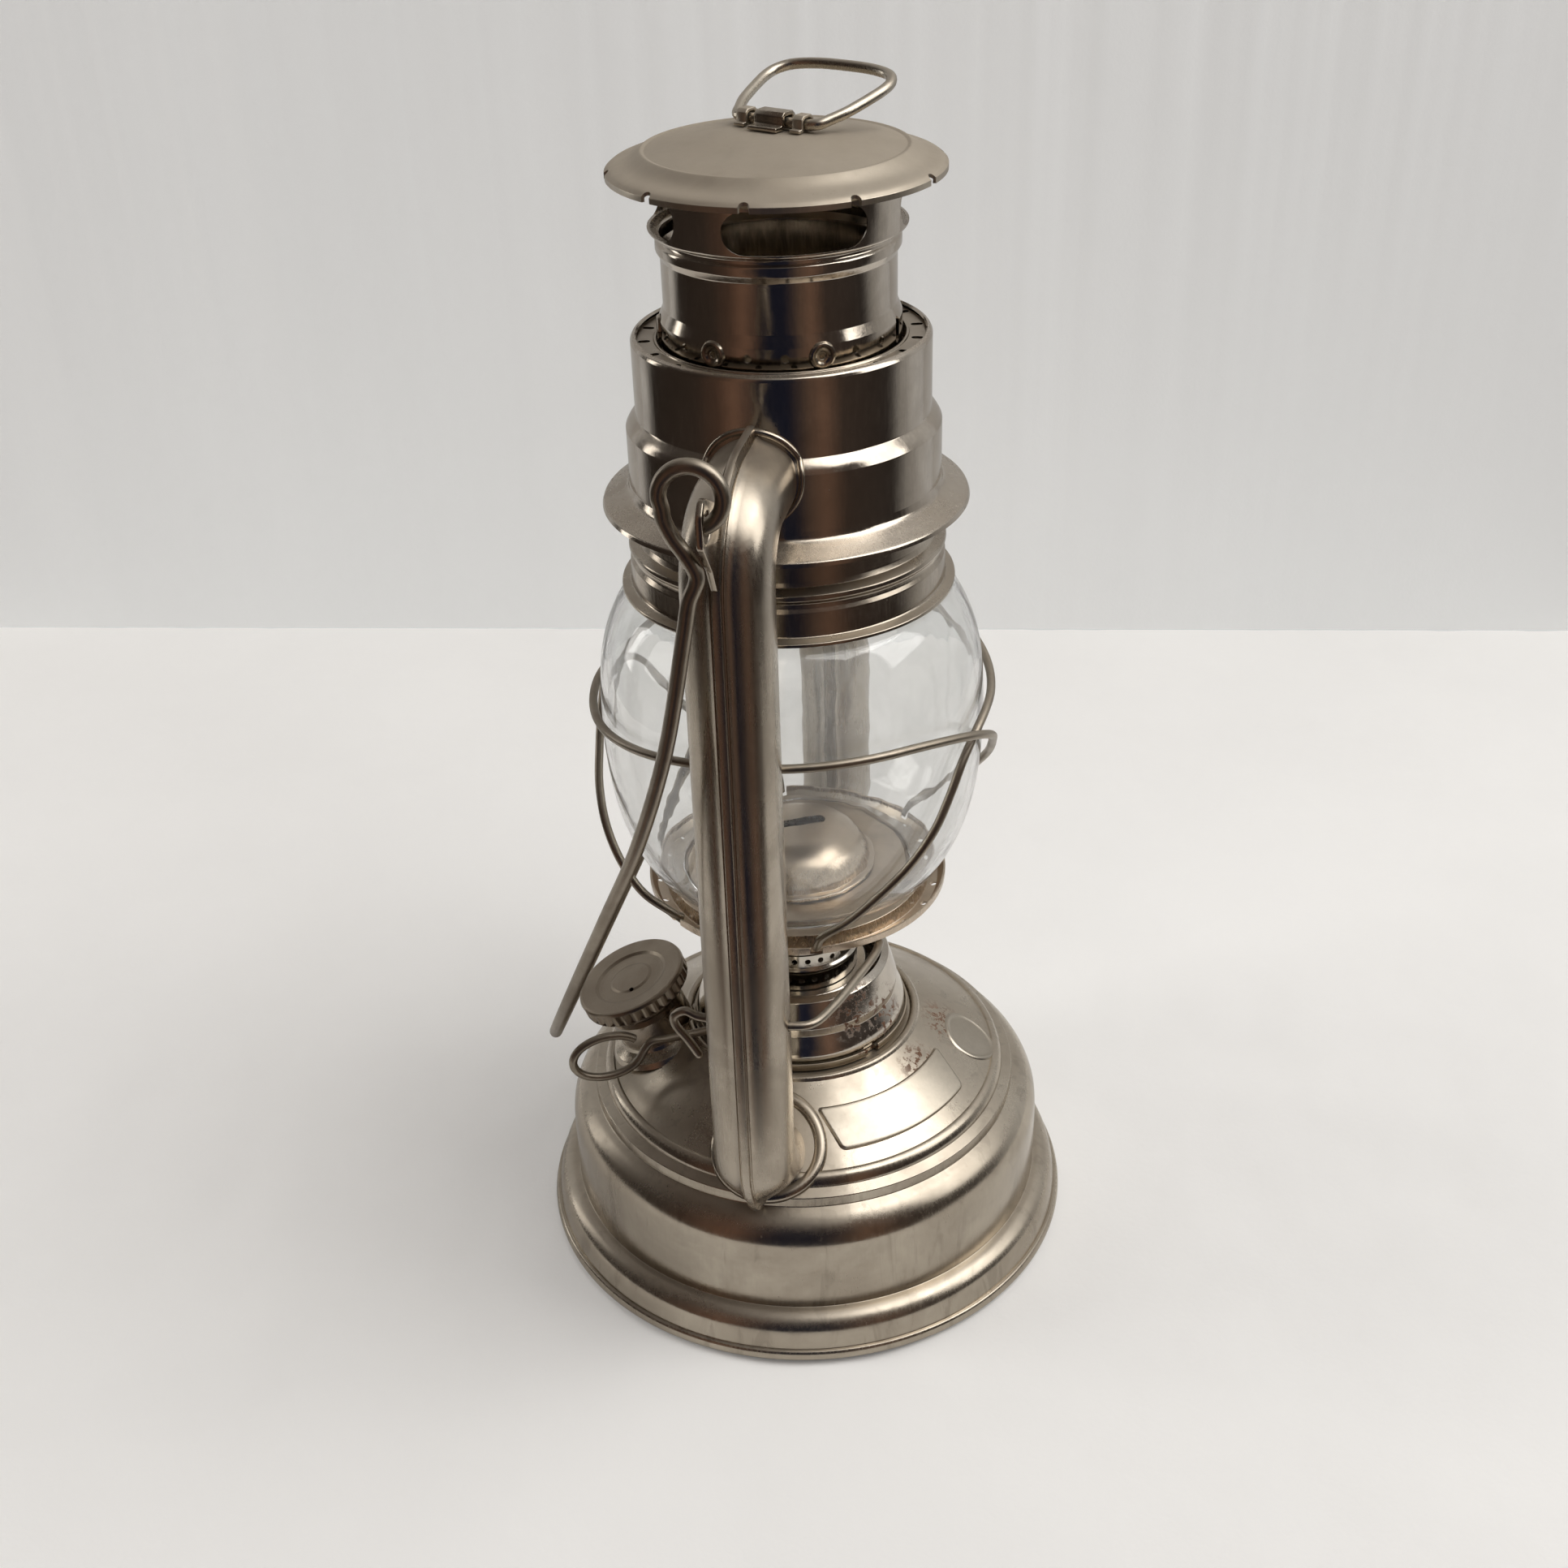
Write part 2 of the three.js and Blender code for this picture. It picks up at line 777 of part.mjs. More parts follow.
function fillerCap() {
  const top = gasketTop + GAP + filler.capTop;
  const skirt = top - filler.capHeight;
  const teeth = [];
  for (let i = 0; i < filler.capKnurls * 2; i++) {
    const radius = filler.capRadius - (i % 2) * filler.knurlDepth;
    const angle = (Math.PI * i) / filler.capKnurls;
    teeth.push([radius * Math.cos(angle), radius * Math.sin(angle)]);
  }
  const height = filler.capHeight - filler.capTop;
  const knurled = prism(teeth, height);
  knurled.translate(0, 0, skirt + height / 2);
  const disc = revolve(
    [
      [0, top - filler.capTop * 2],
      [filler.capRadius - filler.knurlDepth, top - filler.capTop * 2],
      [filler.capRadius, top - filler.capTop],
      [filler.capRadius - filler.knurlDepth, top],
      [filler.dishRadius + filler.dishDepth, top],
      [filler.dishRadius, top - filler.dishDepth],
      [0, top - filler.dishDepth],
    ],
    ROUND,
  );
  const hollow = cylinder(filler.neckRadius + GAP + filler.knurlDepth, filler.capHeight, SMALL_ROUND);
  hollow.translate(0, 0, gasketTop + GAP - filler.capHeight / 2);
  const vent = cylinder(filler.ventRadius, filler.capHeight * 2, TINY_ROUND);
  vent.translate(0, filler.ventReach, top);
  return cut(toSolid(knurled).add(disc), toSolid(hollow), toSolid(vent));
}

add('filler_cap', onFiller(toGeometry(fillerCap())), 'tin');

// Burner
const shaftLine = new THREE.Vector3(Math.cos(wick.shaftAngle), Math.sin(wick.shaftAngle), 0);
const shaftSide = new THREE.Vector3(-shaftLine.y, shaftLine.x, 0).multiplyScalar(wick.shaftOffset);

function shaftPoint(along, z) {
  return shaftLine.clone().multiplyScalar(along).add(shaftSide).setZ(z);
}

// Lays a shape drawn about Z onto the shaft, at a distance along it
function onShaft(geometry, along) {
  const placed = geometry.clone();
  placed.rotateY(Math.PI / 2);
  placed.rotateZ(wick.shaftAngle);
  const at = shaftPoint(along, shaftZ);
  placed.translate(at.x, at.y, at.z);
  return toSolid(placed);
}

const shaftBore = cylinder(wick.shaftDiameter / 2 + GAP, wick.keyStart, TINY_ROUND);
const shaftPassage = onShaft(shaftBore, wick.keyStart / 2 - wick.wheelSpacing);

const wickTubeWidth = wick.width + 2 * (GAP + wick.tubeWall);
const wickTubeDepth = wick.thickness + 2 * (GAP + wick.tubeWall);
const wickTubeTopZ = galleryZ + wick.tubeRise;
const wickTubeZ = wickTubeTopZ - wick.tubeLength / 2;
const slotSteps = 3;

function wickBlock(width, depth, height, z) {
  const block = prism(obround(width, depth, slotSteps), height);
  block.rotateZ(wick.shaftAngle);
  block.translate(0, 0, z);
  return toSolid(block);
}

const plugInside = tank.mouthRadius - 2 * burner.flangeThickness;
add(
  'burner_base',
  revolve(
    [
      [tank.mouthRadius - GAP, burnerZ - burner.plugDepth],
      [tank.mouthRadius - GAP, burnerZ],
      [burner.flangeRadius, burnerZ],
      [burner.flangeRadius, burnerZ + burner.flangeThickness],
      [plugInside, burnerZ + burner.flangeThickness],
      [plugInside, burnerZ - burner.plugDepth],
    ],
    SMALL_ROUND,
  ),
  'dark',
);

const cupShares = [[0.28, 0], [0.03, 0.04], [0, 0.18], [0.38, 0.42], [0.34, 0.56], [0.69, 0.94], [1, 1]];
const cupOutline = cupShares.map(([r, z]) => [
  between(burner.cupRadius, burner.cupTopRadius, r),
  cupZ + burner.cupHeight * z,
]);
add('burner_cup', pressed(cupOutline, SHEET, SMALL_ROUND).subtract(shaftPassage), 'bright');

const wickSlot = wickBlock(wickTubeWidth + 2 * GAP, wickTubeDepth + 2 * GAP, OVERRUN, housingTopZ);
const housing = revolve(
  [
    [0, housingTopZ - SHEET],
    [burner.housingRadius - SHEET, housingTopZ - SHEET],
    [burner.housingRadius - SHEET, cupZ],
    [burner.housingRadius, cupZ],
    [burner.housingRadius, housingTopZ],
    [0, housingTopZ],
  ],
  SMALL_ROUND,
);
add('burner_housing', cut(housing, wickSlot, shaftPassage), 'bright');

function airScreen() {
  const bottom = housingTopZ + GAP;
  const span = galleryZ - SHEET - bottom;
  const ribs = [];
  for (let i = 0; i < burner.screenRibs; i++) {
    const z = bottom + (span * (i + 1)) / (burner.screenRibs + 1);
    ribs.push([burner.screenRadius, z - SHEET]);
    ribs.push([burner.screenRadius + SHEET, z]);
    ribs.push([burner.screenRadius, z + SHEET]);
  }
  return revolve(
    [
      [burner.screenRadius, bottom],
      ...ribs,
      [burner.screenRadius, galleryZ - SHEET],
      [burner.galleryRadius, galleryZ - SHEET],
      [burner.galleryRadius, galleryZ],
      [burner.screenRadius - SHEET, galleryZ],
      [burner.screenRadius - SHEET, bottom],
    ],
    SMALL_ROUND,
  );
}

add('air_screen', airScreen(), 'bright');

const wheelTip = wick.wheelRadius + wick.toothHeight;
const wickTubeBody = wickBlock(wickTubeWidth, wickTubeDepth, wick.tubeLength, wickTubeZ);
const wickTubeHole = wickBlock(
  wick.width + 2 * GAP,
  wick.thickness + 2 * GAP,
  wick.tubeLength + OVERRUN,
  wickTubeZ,
);
const wheelWindow = onShaft(cylinder(wheelTip + GAP, wick.wheelSpacing * 2, SMALL_ROUND), 0);
add('wick_tube', cut(wickTubeBody, wickTubeHole, wheelWindow), 'bright');

const wickTopZ = wickTubeTopZ + wick.aboveTube;
add('wick', wickBlock(wick.width, wick.thickness, wick.length, wickTopZ - wick.length / 2), 'cotton');

// Toothed wheels that grip the wick
function wickWheel(side) {
  const teeth = [];
  for (let i = 0; i < wick.wheelTeeth * 2; i++) {
    const radius = i % 2 ? wick.wheelRadius : wheelTip;
    const angle = (Math.PI * i) / wick.wheelTeeth;
    teeth.push([radius * Math.cos(angle), radius * Math.sin(angle)]);
  }
  const along = (side * wick.wheelSpacing) / 2;
  return onShaft(prism(teeth, wick.wheelThickness), along).subtract(onShaft(shaftBore, 0));
}

add('wick_wheel_outer', wickWheel(1), 'dark');
add('wick_wheel_inner', wickWheel(-1), 'dark');

// Wick shaft, bent into a flat loop that is turned by hand
const keyStart = THREE.MathUtils.degToRad(155);
const keySweep = THREE.MathUtils.degToRad(300);
const keySteps = 12;
const shaftOverhang = 1.4;

function wickShaft() {
  const points = [
    shaftPoint(-wick.wheelSpacing * shaftOverhang, shaftZ),
    shaftPoint(wick.wheelSpacing * shaftOverhang, shaftZ),
    shaftPoint(burner.cupRadius, shaftZ),
    shaftPoint(wick.keyStart - wick.shaftDiameter * 3, shaftZ),
    shaftPoint(wick.keyStart - wick.shaftDiameter, shaftZ),
  ];
  for (let i = 0; i <= keySteps; i++) {
    const turn = keyStart - (keySweep * i) / keySteps;
    const along = wick.keyStart + (wick.keyLength / 2) * (1 + Math.cos(turn));
    points.push(shaftPoint(along, shaftZ - wick.keyDrop - (wick.keyWidth / 2) * Math.sin(turn)));
  }
  return wire(points, wick.shaftDiameter);
}

add('wick_shaft', toSolid(wickShaft()), 'wire');

// Side tubes and the ears that hold the bail
const frontTube = sideTube();
add('side_tube_front', frontTube.subtract(leverHole()), 'tin');
add('side_tube_back', opposite(frontTube), 'tin');

const earShares = [
  [0.04, 0], [0.52, 0], [0.69, 0.27], [0.99, 0.59], [1, 0.86], [0.85, 1], [0.35, 0.77], [-0.11, 0.34],
];

function bailEar() {
  const outline = earShares.map(([out, up]) => [
    tube.distance + ear.reach * out,
    tubeTopZ - ear.drop + ear.height * up,
  ]);
  const blank = prism(outline, ear.thickness);
  const eye = cylinder(ear.holeRadius, OVERRUN, SMALL_ROUND);
  eye.translate(tube.distance + ear.holeOut, eyeZ, 0);
  const flat = toSolid(blank).subtract(toSolid(eye));
  const standing = toGeometry(flat);
  standing.rotateX(Math.PI / 2);
  standing.rotateZ(-Math.PI / 2);
  return toSolid(standing).subtract(tubeLoft(GAP, sectionDegrees, tube.seamHeight));
}

const frontEar = bailEar();
add('bail_ear_front', frontEar, 'tin');
add('bail_ear_back', opposite(frontEar), 'tin');

// Air chamber
add('hood_shell', pressed(hoodOutline).subtract(bothBores), 'tin');

const deckRadius = hood.topRadius - SHEET - GAP;

function hoodDeck() {
  const deck = revolve([
    [deckRadius, deckZ - SHEET],
    [deckRadius, deckZ],
    [hood.openingRadius + SHEET, deckZ],
    [hood.openingRadius + SHEET, deckZ + hood.deckLip],
    [hood.openingRadius, deckZ + hood.deckLip],
    [hood.openingRadius, deckZ - SHEET],
  ]);
  const slots = [];
  for (let i = 0; i < hood.slots; i++) {
    const slot = prism(obround(hood.slotLength, hood.slotWidth, 2), OVERRUN);
    slot.translate((deckRadius + hood.openingRadius + SHEET) / 2, 0, deckZ);
    slot.rotateZ((2 * Math.PI * i) / hood.slots);
    slots.push(toSolid(slot));
  }
  return cut(deck, ...slots);
}

add('hood_deck', hoodDeck(), 'tin');

// Globe collar with the throat that carries the chimney tube
const collarShares = [
  [1, 0], [1, 0.02], [0.83, 0.04], [0.82, 0.2], [0.77, 0.23], [0.77, 0.26],
  [0.84, 0.29], [0.83, 0.32], [0.69, 0.358], [0.65, 0.39], [0.65, 0.64],
];

function globeCollar() {
  const outline = collarShares.map(([r, z]) => [
    between(collar.throatRadius, collar.flangeRadius, r),
    collarZ + collar.lipHeight * z,
  ]);
  outline.push([collar.throatRadius, collarZ + collar.throatHeight]);
  outline.push([collar.throatRadius, collarZ + collar.lipHeight]);
  const ledgeZ = globeTopZ + GAP;
  const ledge = revolve(
    [
      [collar.bandRadius - SHEET / 2, ledgeZ],
      [collar.bandRadius - SHEET / 2, ledgeZ + SHEET],
      [globe.mouthRadius - globe.wall, ledgeZ + SHEET],
      [globe.mouthRadius - globe.wall, ledgeZ],
    ],
    MIDDLE_ROUND,
  );
  return pressed(outline, SHEET, MIDDLE_ROUND).add(ledge);
}

add('globe_collar', globeCollar(), 'tin');

// Chimney tube: vents in the top band, punched holes and bosses round its foot
const bandShares = [
  [0.4, 0.03], [0.4, 0.12], [0.1, 0.16], [0.15, 0.2], [1, 0.24], [1, 0.74], [0.7, 0.82], [0.4, 0.87], [0.4, 1],
];
const mouthShare = -0.8;

function chimneyTube() {
  const outline = [
    [chimney.flareRadius, chimneyZ],
    [chimney.flareRadius, chimneyZ + chimney.flareHeight],
    [chimney.tubeRadius, chimneyZ + chimney.flareHeight + chimney.flareRun],
    [chimney.tubeRadius, bandZ - chimney.beadHeight],
  ];
  bandShares.forEach(([r, z]) => {
    outline.push([between(chimney.tubeRadius, chimney.bandRadius, r), bandZ + chimney.bandHeight * z]);
  });
  outline.push([between(chimney.tubeRadius, chimney.bandRadius, mouthShare), chimneyTopZ]);
  const vents = [];
  const ventWidth = 2 * chimney.bandRadius * Math.sin(chimney.ventSpread / 2);
  for (let i = 0; i < chimney.vents; i++) {
    const vent = prism(obround(ventWidth, chimney.ventHeight, 3), chimney.bandRadius);
    const angle = chimney.ventTurn + (2 * Math.PI * i) / chimney.vents;
    vents.push(toSolid(onWall(vent, chimney.bandRadius, angle, bandZ + chimney.ventRise)));
  }
  const bosses = [];
  const holes = [];
  const bossDepth = SHEET / 2 + chimney.bossHeight;
  const bossMid = chimney.flareRadius + chimney.bossHeight - bossDepth / 2;
  for (let i = 0; i < chimney.stations; i++) {
    const angle = chimney.stationTurn + (2 * Math.PI * i) / chimney.stations;
    const z = chimneyZ + chimney.stationZ;
    const slotted = i % chimney.slotEvery === 3;
    const round = cylinder(chimney.holeRadius, OVERRUN, 6);
    const upright = prism(obround(chimney.slotHeight, chimney.slotWidth, 3), OVERRUN);
    upright.rotateZ(Math.PI / 2);
    holes.push(toSolid(onWall(slotted ? upright : round, chimney.flareRadius, angle, z)));
    if (i % 3 > 0 || slotted) continue;
    const boss = cylinder(chimney.bossRadius, bossDepth, TINY_ROUND);
    bosses.push(toSolid(onWall(boss, bossMid, angle, z)));
  }
  return cut(join(pressed(outline, SHEET, MIDDLE_ROUND), ...bosses), ...vents, ...holes);
}

add('chimney_tube', chimneyTube(), 'tin');

// Chimney cap with a notched rim
const capShares = [
  [1, 0], [1, 0.14], [0.97, 0.24], [0.87, 0.38], [0.785, 0.62], [0.762, 0.585],
  [0.6, 0.78], [0.42, 0.9], [0.28, 1], [0, 1],
];

function chimneyCap() {
  const outline = capShares.map(([r, z]) => [cap.radius * r, capZ + cap.crownHeight * z]);
  const nicks = [];
  for (let i = 0; i < cap.nicks; i++) {
    const nick = cylinder(cap.nickRadius, OVERRUN, TINY_ROUND);
    const at = polar(cap.radius, cap.nickTurn + (2 * Math.PI * i) / cap.nicks, capZ);
    nick.translate(at.x, at.y, at.z);
    nicks.push(toSolid(nick));
  }
  return cut(pressed(outline), ...nicks);
}

add('chimney_cap', chimneyCap(), 'tin');

// Strap and lifting ring on the crown
function onCrown(geometry) {
  const placed = geometry.clone();
  placed.rotateZ(ring.turn);
  placed.translate(0, 0, crownZ + GAP);
  return placed;
}

function ringStrap() {
  const inner = ring.diameter / 2 + GAP;
  const top = ring.diameter + GAP;
  const outer = inner + ring.strapThickness;
  const foot = ring.strapLength / 2 + ring.strapThickness;
  const outline = [
    [-foot, 0], [-inner, 0], [-inner, top], [inner, top], [inner, 0], [foot, 0],
    [foot, ring.strapThickness], [outer, ring.strapThickness], [outer, top],
    [inner, top + ring.strapThickness], [-inner, top + ring.strapThickness],
    [-outer, top], [-outer, ring.strapThickness], [-foot, ring.strapThickness],
  ];
  const strap = prism(outline, ring.strapWidth);
  strap.rotateX(Math.PI / 2);
  strap.rotateZ(Math.PI / 2);
  return onCrown(strap);
}

add('ring_strap', ringStrap(), 'tin');

// Half widths of the ring and distances from its hinge line
const ringShares = [
  [0.06, 0], [0.4, 0], [0.6, 0.012], [0.7, 0.04], [0.77, 0.12], [0.876, 0.26], [0.938, 0.4],
  [0.986, 0.54], [1.02, 0.68], [1, 0.8], [0.869, 0.91], [0.538, 0.98],
];

function liftingRing() {
  const side = (sign) => ringShares.map(([across, along]) => {
    const length = ring.length * along;
    return new THREE.Vector3(
      (sign * ring.width * across) / 2,
      length * Math.sin(ring.lean),
      length * Math.cos(ring.lean) + ring.diameter / 2,
    );
  });
  const end = new THREE.Vector3(
    0,
    ring.length * Math.sin(ring.lean),
    ring.length * Math.cos(ring.lean) + ring.diameter / 2,
  );
  return onCrown(wire([...side(-1), end, ...side(1).reverse()], ring.diameter));
}

add('lifting_ring', liftingRing(), 'wire');

// Spring between the collar and the deck of the hood
function chimneySpring() {
  const wireReach = spring.wire / 2 + GAP;
  const slope = collar.neckRadius - collar.throatRadius;
  const rise = collar.throatHeight - collar.neckHeight;
  const nearest = spring.radius * Math.cos(Math.PI / spring.stepsPerTurn);
  const seat = collar.neckHeight + (rise * (collar.neckRadius - nearest)) / slope;
  const bottom = collarZ + seat + wireReach * (1 + spring.footShare) * Math.SQRT2;
  const top = deckZ - SHEET - wireReach;
  const steps = spring.turns * spring.stepsPerTurn;
  const points = [];
  for (let i = 0; i <= steps; i++) {
    const angle = (2 * Math.PI * i) / spring.stepsPerTurn;
    points.push(polar(spring.radius, angle, between(bottom, top, i / steps)));
  }
  const pitch = (top - bottom) / spring.turns;
  console.log('least gap between curls', (pitch - spring.wire).toFixed(2));
  return wire(points, spring.wire, spring.sides);
}

add('chimney_spring', toSolid(chimneySpring()), 'wire');

// Glass globe
const globeShares = [
  [0.653, 0], [0.703, 0.027], [0.791, 0.061], [0.905, 0.172], [0.973, 0.306], [1, 0.453], [1, 0.6],
  [0.982, 0.723], [0.932, 0.821], [0.853, 0.901], [0.769, 0.946], [0.753, 0.98], [0.753, 1],
];
const globeOutline = globeShares.map(([r, z]) => [globe.radius * r, globeZ + globe.height * z]);
add('globe', pressed(globeOutline, globe.wall, MIDDLE_ROUND), 'glass');

// Globe plate
const rimFoldShare = 0.7;
const rimDishShare = 0.1;

function globePlate() {
  const seatOuter = plate.seatRadius + plate.seatWidth;
  const wallRadius = between(plate.floorRadius, plate.rimRadius, 1 / 2);
  const body = revolve([
    [plate.rimRadius, plateZ + plate.rimHeight],
    [plate.rimRadius - SHEET, plateZ + plate.rimHeight],
    [plate.rimRadius - SHEET, plateZ + plate.rimHeight * rimFoldShare],
    [wallRadius, plateZ + SHEET + plate.rimHeight * rimDishShare],
    [seatOuter + SHEET, plateZ + SHEET],
    [seatOuter, plateZ + plate.seatHeight + SHEET],
    [plate.seatRadius, plateZ + plate.seatHeight + SHEET],
    [plate.innerEdge, plateZ + plate.innerHeight + SHEET],
    [plate.innerRadius, plateZ + plate.innerHeight + SHEET],
    [plate.innerRadius, plateZ + plate.innerHeight],
    [plate.neckRadius - SHEET, plateZ + plate.innerHeight],
    [plate.neckRadius - SHEET, plateZ - plate.neckDepth],
    [plate.neckRadius, plateZ - plate.neckDepth],
    [plate.neckRadius, plateZ + plate.innerHeight],
    [plate.innerEdge - SHEET, plateZ + plate.innerHeight],
    [plate.seatRadius, plateZ + plate.seatHeight],
    [seatOuter - SHEET, plateZ + plate.seatHeight],
    [seatOuter, plateZ],
    [plate.floorRadius + SHEET, plateZ],
    [plate.rimRadius, plateZ + plate.rimHeight * rimFoldShare - SHEET],
  ], MIDDLE_ROUND);
  const holes = [];
  for (let i = 0; i < plate.holes; i++) {
    const hole = cylinder(plate.holeRadius, OVERRUN, 6);
    const at = polar(wallRadius - plate.holeRadius, (2 * Math.PI * i) / plate.holes, plateZ);
    hole.translate(at.x, at.y, at.z);
    holes.push(toSolid(hole));
  }
  const notches = [guard.footTurn, guard.hookTurn, guard.footTurn + Math.PI, guard.hookTurn + Math.PI];
  const gashes = notches.map((angle) => {
    const gash = new THREE.BoxGeometry(plate.notchDepth, plate.notchWidth, plate.rimHeight);
    gash.translate(plate.rimRadius, 0, plateZ + plate.rimHeight * rimFoldShare + SHEET);
    gash.rotateZ(angle);
    return toSolid(gash);
  });
  return cut(body, ...holes, ...gashes);
}

add('globe_plate', globePlate(), 'tin');

// Flame cone with its slot
const coneShares = [
  [1, 0], [1, 0.05], [0.917, 0.077], [0.896, 0.29], [0.79, 0.615], [0.573, 0.885], [0.26, 0.99], [0, 1],
];

function burnerCone() {
  const base = plateZ + plate.innerHeight + SHEET + GAP;
  const outline = coneShares.map(([r, z]) => [cone.radius * r, base + cone.height * z]);
  const slot = wickBlock(cone.slotLength, cone.slotWidth, cone.height, base + cone.height);
  return pressed(outline, SHEET, SMALL_ROUND).subtract(slot);
}

add('burner_cone', burnerCone(), 'bright');

// Guard wires: angle in degrees, share of the guard radius, share of the guard height
const guardShares = [
  [108, 0.745, -0.026], [108.3, 0.782, 0], [109.6, 0.8, 0.05], [119, 0.838, 0.14], [129.5, 0.893, 0.275],
  [137.5, 0.945, 0.4], [144.4, 0.985, 0.54], [151, 0.99, 0.677], [156.5, 0.99, 0.785], [163, 0.99, 0.857],
  [172, 0.99, 0.895], [183, 0.992, 0.9], [196, 0.994, 0.893], [209, 0.996, 0.895], [222, 0.996, 0.91],
  [237, 0.996, 0.935], [252, 0.996, 0.962], [270, 0.993, 0.98], [287, 0.996, 0.988], [303, 0.997, 0.988],
  [318, 1.002, 0.975], [331, 1.022, 0.94], [341, 1.043, 0.89], [350, 1.04, 0.815], [358.5, 1.015, 0.72],
  [368, 1, 0.6], [378, 1.002, 0.48], [387, 0.995, 0.355], [395, 0.962, 0.225], [402, 0.903, 0.11],
  [407.5, 0.82, 0.035], [408.9, 0.775, -0.005], [409, 0.745, -0.026],
];

const crestStart = THREE.MathUtils.degToRad(165);
const crestSweep = THREE.MathUtils.degToRad(135);

function guardWire(crest) {
  const points = guardShares.map(([degrees, radius, height]) => {
    const angle = THREE.MathUtils.degToRad(degrees);
    const phase = THREE.MathUtils.clamp((angle - crestStart) / crestSweep, 0, 1);
    const lift = crest * Math.sin(Math.PI * phase) ** 2;
    return polar(guard.radius * radius, angle, globeZ + guard.rise * height + lift);
  });
  return toSolid(wire(points, guard.diameter));
}

add('guard_wire_front', guardWire(0), 'wire');
add('guard_wire_back', opposite(guardWire(guard.backCrest)), 'wire');

// Lift lever: arm under the globe plate, straight through the front tube, handle outside
const leverShares = [[0.52, 0.77], [0.76, 0.5], [1, 0.2]];
const handleShares = [[0.62, -0.1], [0.92, 0.05], [0.9, 0.24], [0.6, 0.55], [0.26, 0.95]];

function liftLever() {
  const armStart = tube.halfWidth + 2 * lever.diameter;
  const arm = leverShares.map(([across, back]) => new THREE.Vector3(
    between(armStart, lever.armSpread, across),
    -tube.distance + lever.armReach * (1 - back),
    leverZ,
  ));
  const tip = new THREE.Vector3(lever.armSpread, -tube.distance + lever.armReach, leverZ);
  const through = [armStart + GAP, -tube.halfWidth - lever.diameter].map(
    (x) => new THREE.Vector3(x, -tube.distance, leverZ),
  );
  const handle = handleShares.map(([out, down]) => new THREE.Vector3(
    -tube.halfWidth - lever.handleOut * out,
    -tube.distance,
    leverZ - lever.handleDrop * down,
  ));
  return wire([tip, ...arm.reverse(), ...through, ...handle], lever.diameter);
}

add('lift_lever', toSolid(liftLever()), 'wire');

// Bail: hooks, straight legs, then half an ellipse that is bent back below the hooks
const legShares = [[-0.88, -0.78], [-0.62, -1.36], [-0.24, -1.93], [0.06, -2.6]];
const hookSteps = 14;
const sweepSteps = 9;

// Sideways and downward distance from the hinge after a length of leg
function bailFall(length) {
  let across = -bail.legShift;
  let down = 0;
  const step = length / bail.integrationSteps;
  for (let i = 0; i < bail.integrationSteps; i++) {
    const bend = THREE.MathUtils.smoothstep(
      step * (i + 1 / 2),
      bail.bendAt - bail.bendRun,
      bail.bendAt + bail.bendRun,
    );
    const lean = between(bail.upperLean, bail.lowerLean, bend);
    across += step * Math.sin(lean);
    down += step * Math.cos(lean);
  }
  return [across, down];
}

function bailWire() {
  const hingeX = bail.hookRadius * Math.sin(bail.holeTurn);
  const reach = tube.distance + ear.holeOut;
  const side = (sign) => {
    const points = [];
    for (let i = 0; i <= hookSteps; i++) {
      const turn = between(bail.hookStart, bail.hookEnd, i / hookSteps);
      points.push([-bail.hookRadius * Math.sin(turn), -bail.hookRadius * Math.cos(turn), reach]);
    }
    legShares.forEach(([x, z]) => points.push([x * bail.hookRadius, z * bail.hookRadius, reach]));
    const knee = (bail.straight * 3) / 4;
    const [kneeAcross, kneeDown] = bailFall(knee);
    points.push([-kneeAcross, -kneeDown, reach]);
    for (let i = 0; i < sweepSteps; i++) {
      const angle = (Math.PI * i) / (2 * sweepSteps);
      const [across, down] = bailFall(between(bail.straight, bail.length, Math.sin(angle)));
      points.push([-across, -down, reach * Math.cos(angle)]);
    }
    return points.map(([x, z, y]) => new THREE.Vector3(hingeX + x, sign * y, hingeZ + z));
  };
  const [across, down] = bailFall(bail.length);
  const bottom = new THREE.Vector3(hingeX - across, 0, hingeZ - down);
  return wire([...side(-1), bottom, ...side(1).reverse()], bail.diameter);
}

add('bail', toSolid(bailWire()), 'wire');

export default lantern;
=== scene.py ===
import math

import bmesh
import bpy
from mathutils import Matrix, Vector, noise


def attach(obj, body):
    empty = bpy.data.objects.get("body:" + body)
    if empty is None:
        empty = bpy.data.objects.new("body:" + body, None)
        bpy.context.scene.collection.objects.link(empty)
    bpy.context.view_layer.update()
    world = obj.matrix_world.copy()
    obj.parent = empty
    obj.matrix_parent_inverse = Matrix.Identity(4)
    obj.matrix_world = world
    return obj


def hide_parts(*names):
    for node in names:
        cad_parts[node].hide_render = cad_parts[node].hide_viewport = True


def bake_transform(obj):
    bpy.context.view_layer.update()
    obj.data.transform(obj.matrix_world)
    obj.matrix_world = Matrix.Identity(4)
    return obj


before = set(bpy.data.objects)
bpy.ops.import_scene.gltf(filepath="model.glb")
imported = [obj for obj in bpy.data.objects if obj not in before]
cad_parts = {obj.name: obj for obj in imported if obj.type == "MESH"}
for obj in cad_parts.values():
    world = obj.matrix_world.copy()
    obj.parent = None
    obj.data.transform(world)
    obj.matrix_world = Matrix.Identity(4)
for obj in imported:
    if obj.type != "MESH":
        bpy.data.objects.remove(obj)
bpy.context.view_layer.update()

# The lantern is drawn in millimetres, which MM turns into metres; looks, cloth and lamps are in metres

MM = 0.001
SHEET = 0.6
GAP = 0.3
MIDDLE, FINE, WIDE_ROUND = 96, 160, 224
SAME_POINT = 1e-7
SHORTEST = 1e-6
ON_AXIS = 1e-4

# Profiles


def between(a, b, share):
    return a + (b - a) * share


